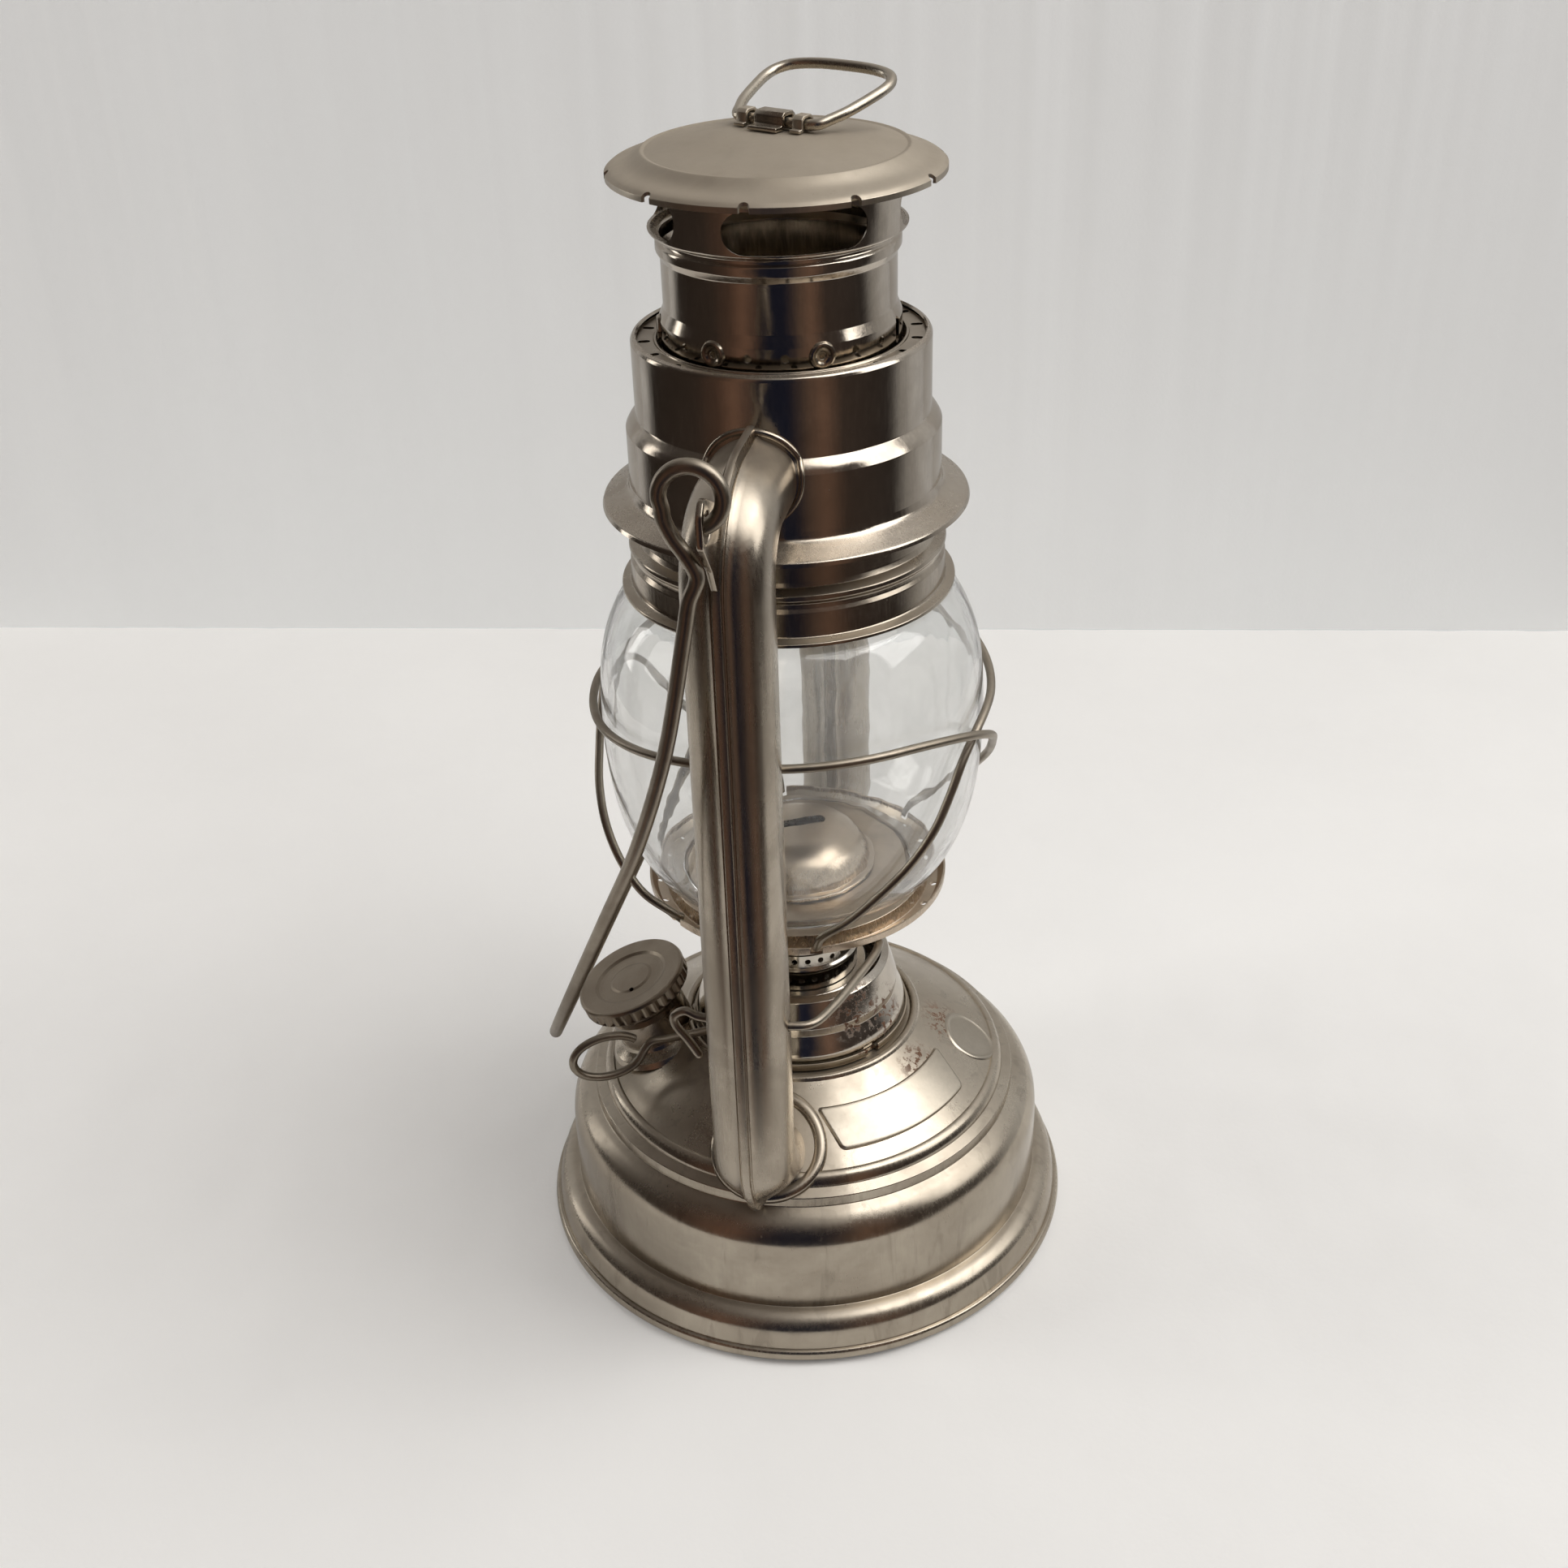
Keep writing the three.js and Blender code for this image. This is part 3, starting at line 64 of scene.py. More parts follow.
def polar(radius, angle, height=0):
    return radius * math.cos(angle), radius * math.sin(angle), height


def full_turn(steps):
    return [2 * math.pi * i / steps for i in range(steps)]


def knot_gap(a, b):
    return max((b - a).length, SHORTEST) ** 0.5


def knot_blend(t, a, b, start, end):
    return a * ((end - t) / (end - start)) + b * ((t - start) / (end - start))


def knot_points(points, steps):
    """A centripetal Catmull-Rom line through the points."""
    pts = [Vector(p) for p in points]
    if len(pts) < 3:
        return pts
    pts = [2 * pts[0] - pts[1], *pts, 2 * pts[-1] - pts[-2]]
    line = []
    for i in range(1, len(pts) - 2):
        p0, p1, p2, p3 = pts[i - 1 : i + 3]
        t0 = 0.0
        t1 = t0 + knot_gap(p0, p1)
        t2 = t1 + knot_gap(p1, p2)
        t3 = t2 + knot_gap(p2, p3)
        for k in range(steps):
            t = between(t1, t2, k / steps)
            a1 = knot_blend(t, p0, p1, t0, t1)
            a2 = knot_blend(t, p1, p2, t1, t2)
            a3 = knot_blend(t, p2, p3, t2, t3)
            b1 = knot_blend(t, a1, a2, t0, t2)
            b2 = knot_blend(t, a2, a3, t1, t3)
            line.append(knot_blend(t, b1, b2, t1, t2))
    line.append(pts[-2])
    return line


def fillet(points, radius, steps=5):
    """Rounds each corner of an open line; radius is one number or one per point."""
    pts = [Vector(p) for p in points]
    radii = radius if isinstance(radius, list) else [radius] * len(pts)
    out = [pts[0]]
    for i in range(1, len(pts) - 1):
        p, a, b = pts[i], pts[i - 1] - pts[i], pts[i + 1] - pts[i]
        if a.length < SHORTEST or b.length < SHORTEST:
            continue
        angle = a.angle(b)
        if angle > math.radians(176) or radii[i] <= 0:
            out.append(p)
            continue
        reach = min(radii[i] / math.tan(angle / 2), a.length * 0.45, b.length * 0.45)
        start, end = p + a.normalized() * reach, p + b.normalized() * reach
        for k in range(steps + 1):
            t = k / steps
            out.append(start * (1 - t) ** 2 + p * (2 * t * (1 - t)) + end * t ** 2)
    out.append(pts[-1])
    return out


def rounded(outline, radius, steps=5):
    """Rounds the corners of a closed outline, apart from its first point."""
    return fillet([*outline, outline[0]], radius, steps)[:-1]


def mark(point):
    return tuple(round(c, 4) for c in point)


def smooth(points, corners=(), steps=5, radius=0.5):
    """Splines an outline between its corners, and rounds the corners."""
    breaks = [0, *sorted(corners), len(points) - 1]
    line = []
    for a, b in zip(breaks, breaks[1:]):
        run = knot_points(points[a : b + 1], steps)
        line += run[:-1] if b != breaks[-1] else run
    marks = {mark(points[k]) for k in corners}
    return fillet(line, [radius if mark(p) in marks else 0 for p in line])


def offset(points, distance):
    """Moves an outline sideways, to the right of its direction of travel."""
    out = []
    for i, p in enumerate(points):
        a, b = points[max(i - 1, 0)], points[min(i + 1, len(points) - 1)]
        d = (b - a).normalized()
        out.append(Vector((p.x + d.y * distance, p.y - d.x * distance)))
    return out


# Meshes


def to_object(name, bm, sharp=38):
    """Makes a piece whose faces shade smoothly across edges below the given degrees."""
    bmesh.ops.remove_doubles(bm, verts=bm.verts, dist=SAME_POINT)
    bmesh.ops.recalc_face_normals(bm, faces=bm.faces)
    limit = math.radians(sharp)
    for f in bm.faces:
        f.smooth = True
    for e in bm.edges:
        e.smooth = len(e.link_faces) == 2 and e.calc_face_angle(0) < limit
    mesh = bpy.data.meshes.new(name)
    bm.to_mesh(mesh)
    bm.free()
    o = bpy.data.objects.new(name, mesh)
    bpy.context.scene.collection.objects.link(o)
    return o


def revolved(points, segments=FINE, closed=True):
    """A bmesh turned about Z from (radius, height) points in millimetres."""
    bm = bmesh.new()
    rings = []
    for r, z in points:
        if r < ON_AXIS:
            rings.append([bm.verts.new((0, 0, z * MM))])
        else:
            rings.append([bm.verts.new(polar(r * MM, a, z * MM)) for a in full_turn(segments)])
    pairs = list(zip(rings, rings[1:]))
    if closed:
        pairs.append((rings[-1], rings[0]))
    for a, b in pairs:
        if len(a) == 1 and len(b) == 1:
            continue
        for i in range(segments):
            j = (i + 1) % segments
            if len(a) == 1:
                bm.faces.new((a[0], b[i], b[j]))
            elif len(b) == 1:
                bm.faces.new((a[i], b[0], a[j]))
            else:
                bm.faces.new((a[i], b[i], b[j], a[j]))
    return bm


def pressed(points, thickness=SHEET, segments=FINE):
    """A pressed sheet whose outer face is the outline, travelled upwards."""
    inside = offset(points, -thickness)[::-1]
    if points[-1].x < ON_AXIS:
        inside[0].x = 0
        return revolved([*inside, *points], segments, closed=False)
    return revolved([*points, *inside], segments)


def prism(outline, low, high):
    """A bmesh of an outline in XY, from low to high, in millimetres."""
    bm = bmesh.new()
    lower = [bm.verts.new((x * MM, y * MM, low * MM)) for x, y in outline]
    upper = [bm.verts.new((x * MM, y * MM, high * MM)) for x, y in outline]
    n = len(outline)
    for i in range(n):
        j = (i + 1) % n
        bm.faces.new((lower[i], lower[j], upper[j], upper[i]))
    bm.faces.new(lower[::-1])
    bm.faces.new(upper)
    return bm


def rod(radius, low, high, steps=20):
    return prism([polar(radius, a)[:2] for a in full_turn(steps)], low, high)


def box(half_x, half_y, low, high):
    return prism([(-half_x, -half_y), (half_x, -half_y), (half_x, half_y), (-half_x, half_y)], low, high)


def obround(length, width, steps=12):
    """The outline of a slot with round ends."""
    r, half = width / 2, (length - width) / 2
    out = []
    for side in (1, -1):
        for i in range(steps + 1):
            t = math.pi * i / steps - side * math.pi / 2
            out.append((side * half + r * math.cos(t), r * math.sin(t)))
    return out


def moved(bm, matrix):
    bmesh.ops.transform(bm, matrix=matrix, verts=bm.verts)
    return bm


def shift(x, y, z):
    return Matrix.Translation(Vector((x, y, z)) * MM)


def turn(angle, axis="Z"):
    return Matrix.Rotation(angle, 4, axis)


QUARTER = math.pi / 2
UPRIGHT = turn(QUARTER, "X")
ALONG_X = turn(QUARTER, "Y")


def on_wall(bm, radius, angle, z):
    """Lays a shape drawn in XY and raised along Z onto a wall that faces outward."""
    at = shift(*polar(radius, angle, z))
    return moved(bm, at @ turn(angle + QUARTER) @ UPRIGHT)


def merged(parts):
    whole = bmesh.new()
    for part in parts:
        mesh = bpy.data.meshes.new("part")
        part.to_mesh(mesh)
        part.free()
        whole.from_mesh(mesh)
        bpy.data.meshes.remove(mesh)
    return whole


def applied(o):
    """Takes a piece apart into a bmesh with its modifiers applied."""
    graph = bpy.context.evaluated_depsgraph_get()
    bm = bmesh.new()
    bm.from_mesh(bpy.data.meshes.new_from_object(o.evaluated_get(graph)))
    old = o.data
    bpy.data.objects.remove(o)
    bpy.data.meshes.remove(old)
    return bm


def combine(o, cutters, sharp=38, folded=False):
    """Cuts the cutters out of a piece, folded where its sheet meets itself."""
    name = o.name
    tool = to_object("tool", merged(cutters))
    mod = o.modifiers.new("cut", "BOOLEAN")
    mod.operation = "DIFFERENCE"
    mod.solver = "EXACT"
    mod.object = tool
    mod.use_self = folded
    bm = applied(o)
    bpy.data.objects.remove(tool)
    return to_object(name, bm, sharp)


def bevelled(o, width, segments=3, sharp=38):
    name = o.name
    mod = o.modifiers.new("edge", "BEVEL")
    mod.width = width * MM
    mod.segments = segments
    mod.limit_method = "ANGLE"
    mod.angle_limit = math.radians(sharp)
    return to_object(name, applied(o), 60)


def loft(rings):
    """Skins rings of points in millimetres and closes both ends."""
    bm = bmesh.new()
    made = [[bm.verts.new(Vector(p) * MM) for p in ring] for ring in rings]
    n = len(rings[0])
    for a, b in zip(made, made[1:]):
        for i in range(n):
            j = (i + 1) % n
            bm.faces.new((a[i], a[j], b[j], b[i]))
    bm.faces.new(made[0][::-1])
    bm.faces.new(made[-1])
    return bm


HEAD_ROUND = ((0.0, 0.35), (0.13, 0.75), (0.35, 0.95))
TAIL_ROUND = ((-0.35, 0.95), (-0.13, 0.75), (0.0, 0.35))


def wire(points, diameter, sides=16, steps=8):
    """A round wire through the points, with rounded ends, in millimetres."""
    line = knot_points([Vector(p) for p in points], steps)
    last = len(line) - 1
    r = diameter / 2
    side = (line[1] - line[0]).normalized().orthogonal().normalized()
    rings = []
    for i, p in enumerate(line):
        t = (line[min(i + 1, last)] - line[max(i - 1, 0)]).normalized()
        side = (side - t * side.dot(t)).normalized()
        across = t.cross(side)
        ends = HEAD_ROUND if i == 0 else TAIL_ROUND if i == last else ((0.0, 1.0),)
        for ahead, wide in ends:
            spokes = [side * math.cos(a) + across * math.sin(a) for a in full_turn(sides)]
            rings.append([p + t * r * ahead + spoke * (r * wide) for spoke in spokes])
    return loft(rings)


# Materials


def node(tree, kind, **values):
    n = tree.nodes.new(kind)
    for k, v in values.items():
        setattr(n, k, v)
    return n


def noise_of(tree, vector, scale, detail=4.0, rough=0.55, distortion=0.0):
    n = node(tree, "ShaderNodeTexNoise")
    n.inputs["Scale"].default_value = scale
    n.inputs["Detail"].default_value = detail
    n.inputs["Roughness"].default_value = rough
    n.inputs["Distortion"].default_value = distortion
    tree.links.new(vector, n.inputs["Vector"])
    return n.outputs["Fac"]


def ramp(tree, value, *stops):
    """A value through a colour ramp of (place, grey or colour) stops."""
    n = node(tree, "ShaderNodeValToRGB")
    while len(n.color_ramp.elements) < len(stops):
        n.color_ramp.elements.new(0.5)
    for e, (at, tone) in zip(n.color_ramp.elements, stops):
        e.position = at
        e.color = (*tone, 1) if hasattr(tone, "__len__") else (tone, tone, tone, 1)
    tree.links.new(value, n.inputs["Fac"])
    return n.outputs["Color"]


def rise(tree, value, low, high, top=1.0):
    return ramp(tree, value, (low, 0.0), (high, top))


def plug(tree, socket, value):
    """Links a node's output to a socket, or sets the socket to a number or colour."""
    if isinstance(value, bpy.types.NodeSocket):
        tree.links.new(value, socket)
    else:
        socket.default_value = (*value, 1) if hasattr(value, "__len__") else value


def mix(tree, factor, a, b):
    n = node(tree, "ShaderNodeMix", data_type="RGBA")
    for name, kind, value in (("Factor", "VALUE", factor), ("A", "RGBA", a), ("B", "RGBA", b)):
        plug(tree, next(s for s in n.inputs if s.name == name and s.type == kind), value)
    return next(s for s in n.outputs if s.type == "RGBA")


def maths(tree, operation, a, b, clamp=False):
    n = node(tree, "ShaderNodeMath", operation=operation, use_clamp=clamp)
    plug(tree, n.inputs[0], a)
    plug(tree, n.inputs[1], b)
    return n.outputs[0]


def times(tree, a, b, clamp=False):
    return maths(tree, "MULTIPLY", a, b, clamp)


def plus(tree, a, b, clamp=False):
    return maths(tree, "ADD", a, b, clamp)


def scaled(tree, vector, factors):
    n = node(tree, "ShaderNodeMapping")
    n.inputs["Scale"].default_value = factors
    tree.links.new(vector, n.inputs["Vector"])
    return n.outputs["Vector"]


def height_of(tree, vector):
    n = node(tree, "ShaderNodeSeparateXYZ")
    tree.links.new(vector, n.inputs[0])
    return n.outputs["Z"]


def bump(tree, height, distance, strength=1.0, normal=None):
    n = node(tree, "ShaderNodeBump")
    n.inputs["Strength"].default_value = strength
    n.inputs["Distance"].default_value = distance
    tree.links.new(height, n.inputs["Height"])
    if normal is not None:
        tree.links.new(normal, n.inputs["Normal"])
    return n.outputs["Normal"]


def shade(colour, share):
    return tuple(c * share for c in colour)


def new_material(name):
    m = bpy.data.materials.new(name)
    m.use_nodes = True
    tree = m.node_tree
    coords = node(tree, "ShaderNodeTexCoord").outputs
    return m, tree, tree.nodes["Principled BSDF"], coords


def near_spot(tree, coords, place, radius):
    n = node(tree, "ShaderNodeVectorMath", operation="DISTANCE")
    tree.links.new(coords, n.inputs[0])
    n.inputs[1].default_value = shade(place, MM)
    away = maths(tree, "DIVIDE", n.outputs["Value"], radius * MM, True)
    return ramp(tree, away, (0.45, 1.0), (1.0, 0.0))


DUST_COLOUR = (0.43, 0.375, 0.3)
RUST_COLOUR = (0.15, 0.07, 0.035)
BRUSHED, ALONG_TUBE, EVEN = (1, 1, 0.15), (1, 1, 0.06), (1, 1, 1)


def metal(name, light, dark, rough, dent=0.0002, rust=0.5, grain=BRUSHED, dust=0.35, spots_at=(), drips=0.0):
    """Aged tinned sheet: mottled tin, dull patches, rub marks, brown specks, dust on top, soft dents."""
    m, tree, shader, outputs = new_material(name)
    coords = outputs["Object"]
    patches = noise_of(tree, coords, 38, 6, 0.62, 0.6)
    cloud = noise_of(tree, coords, 120, 5, 0.6)
    rubs = noise_of(tree, scaled(tree, coords, grain), 1500, 3, 0.6)
    speck = noise_of(tree, coords, 620, 4, 0.7)
    blotch = noise_of(tree, coords, 55, 5, 0.7, 1.2)

    colour = mix(tree, rise(tree, patches, 0.36, 0.66), light, dark)
    colour = mix(tree, rise(tree, cloud, 0.52, 0.72, 0.25), colour, shade(dark, 0.6))
    colour = mix(tree, ramp(tree, rubs, (0.35, 0.22), (0.65, 0.0)), colour, shade(light, 0.65))
    if drips:
        runs = noise_of(tree, scaled(tree, coords, (1, 1, 0.14)), 210, 4, 0.6, 1.0)
        colour = mix(tree, rise(tree, runs, 0.56, 0.63, drips), colour, shade(dark, 0.55))
    upward = rise(tree, height_of(tree, outputs["Normal"]), 0.45, 0.95, dust)
    settled = times(tree, upward, ramp(tree, cloud, (0.3, 0.6), (0.6, 1.0)), True)
    colour = mix(tree, settled, colour, DUST_COLOUR)
    spots = times(tree, rise(tree, speck, 0.66, 0.72), rise(tree, blotch, 0.52, 0.68))
    spots = times(tree, spots, rust, True)
    for place, radius in spots_at:
        local = times(tree, near_spot(tree, coords, place, radius), rise(tree, speck, 0.52, 0.57))
        spots = maths(tree, "MAXIMUM", spots, local, True)
    colour = mix(tree, spots, colour, RUST_COLOUR)
    tree.links.new(colour, shader.inputs["Base Color"])

    dull = ramp(tree, patches, (0.3, rough[0]), (0.75, rough[1]))
    dull = plus(tree, dull, times(tree, rise(tree, rubs, 0.4, 0.7), 0.06))
    dull = plus(tree, dull, times(tree, settled, 0.45))
    dull = plus(tree, dull, times(tree, spots, 0.4), True)
    tree.links.new(dull, shader.inputs["Roughness"])
    bare = maths(tree, "SUBTRACT", 1.0, times(tree, spots, 0.8))
    bare = maths(tree, "SUBTRACT", bare, times(tree, settled, 0.6), True)
    tree.links.new(bare, shader.inputs["Metallic"])

    normal = bump(tree, noise_of(tree, coords, 26, 2, 0.4), dent)
    normal = bump(tree, speck, 0.00003, 0.5, normal)
    normal = bump(tree, rubs, 0.00001, 0.5, normal)
    tree.links.new(normal, shader.inputs["Normal"])
    return m


def glass_material():
    m, tree, shader, outputs = new_material("globe_glass")
    coords = outputs["Object"]
    shader.inputs["IOR"].default_value = 1.46
    dust = noise_of(tree, coords, 900, 5, 0.75)
    haze = noise_of(tree, coords, 22, 4, 0.6, 0.8)
    film = noise_of(tree, coords, 60, 5, 0.65, 0.5)
    colour = mix(tree, rise(tree, haze, 0.4, 0.8), (0.985, 0.99, 0.985), (0.93, 0.935, 0.925))
    dull = plus(tree, rise(tree, haze, 0.45, 0.8, 0.05), rise(tree, dust, 0.66, 0.74, 0.25), True)
    clear = ramp(tree, film, (0.3, 0.96), (0.75, 0.86))
    tree.links.new(colour, shader.inputs["Base Color"])
    tree.links.new(dull, shader.inputs["Roughness"])
    tree.links.new(clear, shader.inputs["Transmission Weight"])
    tree.links.new(bump(tree, noise_of(tree, coords, 34, 3, 0.5), 0.0004), shader.inputs["Normal"])
    return m


WICK_CHAR_FROM = 103.5 * MM


def cotton_material():
    m, tree, shader, outputs = new_material("wick_cotton")
    weave = node(tree, "ShaderNodeTexWave", bands_direction="Z")
    weave.inputs["Scale"].default_value = 420
    weave.inputs["Distortion"].default_value = 2.0
    tree.links.new(outputs["Object"], weave.inputs["Vector"])
    over = maths(tree, "SUBTRACT", height_of(tree, outputs["Object"]), WICK_CHAR_FROM)
    colour = mix(tree, weave.outputs["Fac"], (0.62, 0.57, 0.46), (0.8, 0.76, 0.66))
    colour = mix(tree, times(tree, over, 500.0, True), colour, (0.05, 0.035, 0.025))
    tree.links.new(colour, shader.inputs["Base Color"])
    shader.inputs["Roughness"].default_value = 0.95
    tree.links.new(bump(tree, weave.outputs["Fac"], 0.0002), shader.inputs["Normal"])
    return m


def cork_material():
    m, tree, shader, outputs = new_material("filler_cork")
    cells = node(tree, "ShaderNodeTexVoronoi")
    cells.inputs["Scale"].default_value = 900
    tree.links.new(outputs["Object"], cells.inputs["Vector"])
    colour = mix(tree, cells.outputs["Distance"], (0.36, 0.22, 0.12), (0.62, 0.45, 0.28))
    tree.links.new(colour, shader.inputs["Base Color"])
    shader.inputs["Roughness"].default_value = 0.85
    tree.links.new(bump(tree, cells.outputs["Distance"], 0.0002), shader.inputs["Normal"])
    return m


TIN = metal("tin_sheet", (0.5, 0.44, 0.36), (0.36, 0.31, 0.25), (0.1, 0.26))
TUBE = metal("tin_tube", (0.52, 0.46, 0.38), (0.38, 0.33, 0.265), (0.2, 0.34), rust=0.6, grain=ALONG_TUBE)
PIPE = metal("tin_pipe", (0.6, 0.54, 0.46), (0.46, 0.4, 0.33), (0.07, 0.17), dent=0.00012, rust=0.35)
TANK = metal(
    "tin_tank", (0.56, 0.5, 0.41), (0.42, 0.365, 0.295), (0.13, 0.27), rust=0.8,
    spots_at=(((36, 4, 51), 9), ((33, -14, 54), 7)), drips=0.3,
)
SEAT = metal(
    "tin_seat", (0.56, 0.49, 0.39), (0.42, 0.36, 0.28), (0.26, 0.4), rust=0.8,
    spots_at=(((20, -16, 58), 6),),
)
PANEL = metal("tin_panel", (0.53, 0.48, 0.4), (0.42, 0.37, 0.3), (0.26, 0.36), rust=0.5, dust=0.1)
BRIGHT = metal(
    "tin_bright", (0.72, 0.68, 0.6), (0.56, 0.5, 0.43), (0.06, 0.2), rust=0.7, dust=0.15,
    spots_at=(((17, -16, 69), 9), ((23, -9, 64), 8)),
)
DUSTY = metal("tin_dusty", (0.56, 0.5, 0.41), (0.46, 0.4, 0.32), (0.3, 0.42), dust=0.75, rust=0.7)
WARM = metal("tin_warm", (0.74, 0.62, 0.49), (0.56, 0.46, 0.36), (0.2, 0.32), rust=0.1, dust=0.2)
LID = metal("tin_lid", (0.44, 0.38, 0.3), (0.29, 0.24, 0.185), (0.22, 0.36), rust=0.8, dust=0.25)
DULL = metal("tin_dull", (0.4, 0.345, 0.275), (0.26, 0.22, 0.17), (0.27, 0.42), rust=0.6)
WIRE = metal("wire_dulled", (0.42, 0.37, 0.3), (0.27, 0.23, 0.18), (0.25, 0.42), dent=0.00005, grain=EVEN)
# Ring wire: the dulled wire finish made lighter, a painted highlight standing for the light that the ring
# catches
RING_PAINTED_LIGHT = metal("wire_ring_painted_light", (0.6, 0.55, 0.46), (0.42, 0.37, 0.3), (0.2, 0.34), 0.00005, rust=0.3, grain=EVEN)
GLASS = glass_material()
COTTON = cotton_material()
CORK = cork_material()


def finish_piece(o, body, nodes, material):
    """Dresses a piece, rides it on its body and hides the solids that it stands for."""
    o.data.materials.clear()
    o.data.materials.append(material)
    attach(o, body)
    if nodes:
        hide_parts(*nodes)
    return o


def tin_piece(name, bm, body, nodes, material, sharp=38):
    return finish_piece(to_object(name, bm, sharp), body, nodes, material)


def wire_piece(name, path, diameter, body, nodes, material=WIRE, sides=16, steps=6):
    rope = to_object(name, wire(path, diameter, sides, steps), 50)
    return finish_piece(rope, body, nodes, material)


# Tank

TANK_TOP = 56.4
DOME_R, DOME_Z, RIDGE_R = 51.2, 42.4, 30.0
DOME_SLOPE = math.atan2(TANK_TOP - DOME_Z, DOME_R - RIDGE_R)


def dome_height(radius):
    return between(DOME_Z, TANK_TOP, (DOME_R - radius) / (DOME_R - RIDGE_R))


tank_points = [
    (66.36, 0), (67.5, 1.1), (67.5, 2.5), (67.0, 3.3), (66.4, 3.35), (66.1, 5.2), (65.7, 7.2), (65.0, 9.0),
    (63.8, 10.4), (62.2, 11.3), (60.4, 11.6), (60.4, 14.0), (60.4, 29.2), (59.97, 31.84), (58.54, 34.66),
    (56.36, 36.77), (54.1, 38.1), (53.9, 40.6), (51.5, 41.7), (51.3, 42.5), (50.4, 43.9), (49.2, 44.5),
    (48.66, 44.3), (41.7, 49.0), (35.3, 53.2), (30.2, 56.3), (29.5, 57.2), (28.4, 57.2), (27.7, TANK_TOP),
    (15, TANK_TOP),
]
tank_line = smooth(tank_points, (4, 10, 16, 17, 18, 22, 25, 28), 5, 0.35)
tin_piece("tank_body", pressed(tank_line, SHEET, WIDE_ROUND), "frame", ["tank_shell"], TANK)


def relief(name, low, high, inner, outer, lift, across, down):
    """A closed patch on the conical top, raised where lift says so; angles in degrees."""
    bm = bmesh.new()
    layers = []
    for base in (False, True):
        rows = []
        for i in range(across + 1):
            a = math.radians(between(low, high, i / across))
            row = []
            for k in range(down + 1):
                r = between(inner, outer, k / down)
                up = -0.5 if base else lift(a, r)
                flat, z = r + up * math.sin(DOME_SLOPE), dome_height(r) + up * math.cos(DOME_SLOPE)
                row.append(bm.verts.new((flat * math.cos(a) * MM, flat * math.sin(a) * MM, z * MM)))
            rows.append(row)
        layers.append(rows)
        for i in range(across):
            for k in range(down):
                bm.faces.new((rows[i][k], rows[i][k + 1], rows[i + 1][k + 1], rows[i + 1][k]))
    rims = []
    for rows in layers:
        upper, lower = [r[0] for r in rows], [r[-1] for r in rows]
        rims.append(upper + rows[-1][1:] + lower[-2::-1] + rows[0][-2:0:-1])
    n = len(rims[0])
    for i in range(n):
        j = (i + 1) % n
        bm.faces.new((rims[0][i], rims[0][j], rims[1][j], rims[1][i]))
    return tin_piece(name, bm, "frame", [], PANEL, 40)


def ease(value, low, high):
    t = min(max((value - low) / (high - low), 0), 1)
    return t * t * (3 - 2 * t)


DOWN_SLOPE = 1.198
UNDER_TOP = -0.25
PANEL_MID, PANEL_HALF, PANEL_R = math.radians(-42), math.radians(28.5), 40.4
PANEL_TALL, PANEL_CORNER = 6.0, 1.6
DISC_TURN, DISC_R, DISC_WIDE, BEAD_R = math.radians(6.5), 43.0, 8.3, 7.1


def panel_lift(a, r):
    """The raised field with round corners."""
    x = abs(a - PANEL_MID) * r - PANEL_HALF * PANEL_R + PANEL_CORNER
    y = abs(r - PANEL_R) * DOWN_SLOPE - PANEL_TALL + PANEL_CORNER
    gap = math.hypot(max(x, 0), max(y, 0)) + min(max(x, y), 0) - PANEL_CORNER
    return between(UNDER_TOP, 1.0, ease(-gap, -0.05, 0.95))


def disc_lift(a, r):
    """The raised disc with a bead inside its edge."""
    gap = math.hypot((a - DISC_TURN) * r, (r - DISC_R) * DOWN_SLOPE)
    edge = between(UNDER_TOP, 0.3, ease(DISC_WIDE - gap, -0.1, 0.7))
    return edge + 0.35 * math.exp(-(((gap - BEAD_R) / 0.5) ** 2))


relief("plain_panel", -73, -11, 34.6, 46.2, panel_lift, 150, 40)
relief("plain_disc", -6, 19, 35.4, 50.2, disc_lift, 64, 56)

PAN_R, PAN_STEP = 63.96, 0.68
pan_line = [
    (0, 1.1), (18, 1.1), (19.5, 1.7), (21, 1.7), (22.5, 1.1), (PAN_R * PAN_STEP, 1.1),
    (PAN_R * PAN_STEP + 0.6, 1.7), (PAN_R, 1.7), (PAN_R, 2.3), (0, 2.3),
]
pan = to_object("tank_bottom", revolved(fillet(pan_line, 0.4), FINE, closed=False))
finish_piece(pan, "frame", ["tank_pan"], DULL)

# Filler

FILLER_R, FILLER_ANGLE, FILLER_TILT = 36.6, math.radians(-163.6), math.radians(20)
NECK_TOP, GASKET = 16.2, 1.2
filler_foot = shift(*polar(FILLER_R, FILLER_ANGLE, dome_height(FILLER_R)))
filler_place = filler_foot @ turn(FILLER_ANGLE) @ turn(FILLER_TILT, "Y")
neck_line = [
    (9.8, -4), (9.8, 9.6), (10.2, 11.4), (11.3, 12.8), (10.2, 13.7), (9.8, 14.6), (9.8, NECK_TOP),
    (8.4, NECK_TOP), (8.4, -4),
]
neck = moved(revolved(fillet(neck_line, 0.5), MIDDLE), filler_place)
tin_piece("filler_throat", neck, "frame", ["filler_neck"], TIN)
flange_line = [(13.4, -1.2), (12.6, 0.1), (11.2, 0.9), (10.2, 1.6), (9.9, 2.6), (9.5, 2.6), (9.5, -1.2)]
flange = moved(revolved(fillet(flange_line, 0.4), MIDDLE), filler_place)
tin_piece("filler_flange", flange, "frame", [], TANK)

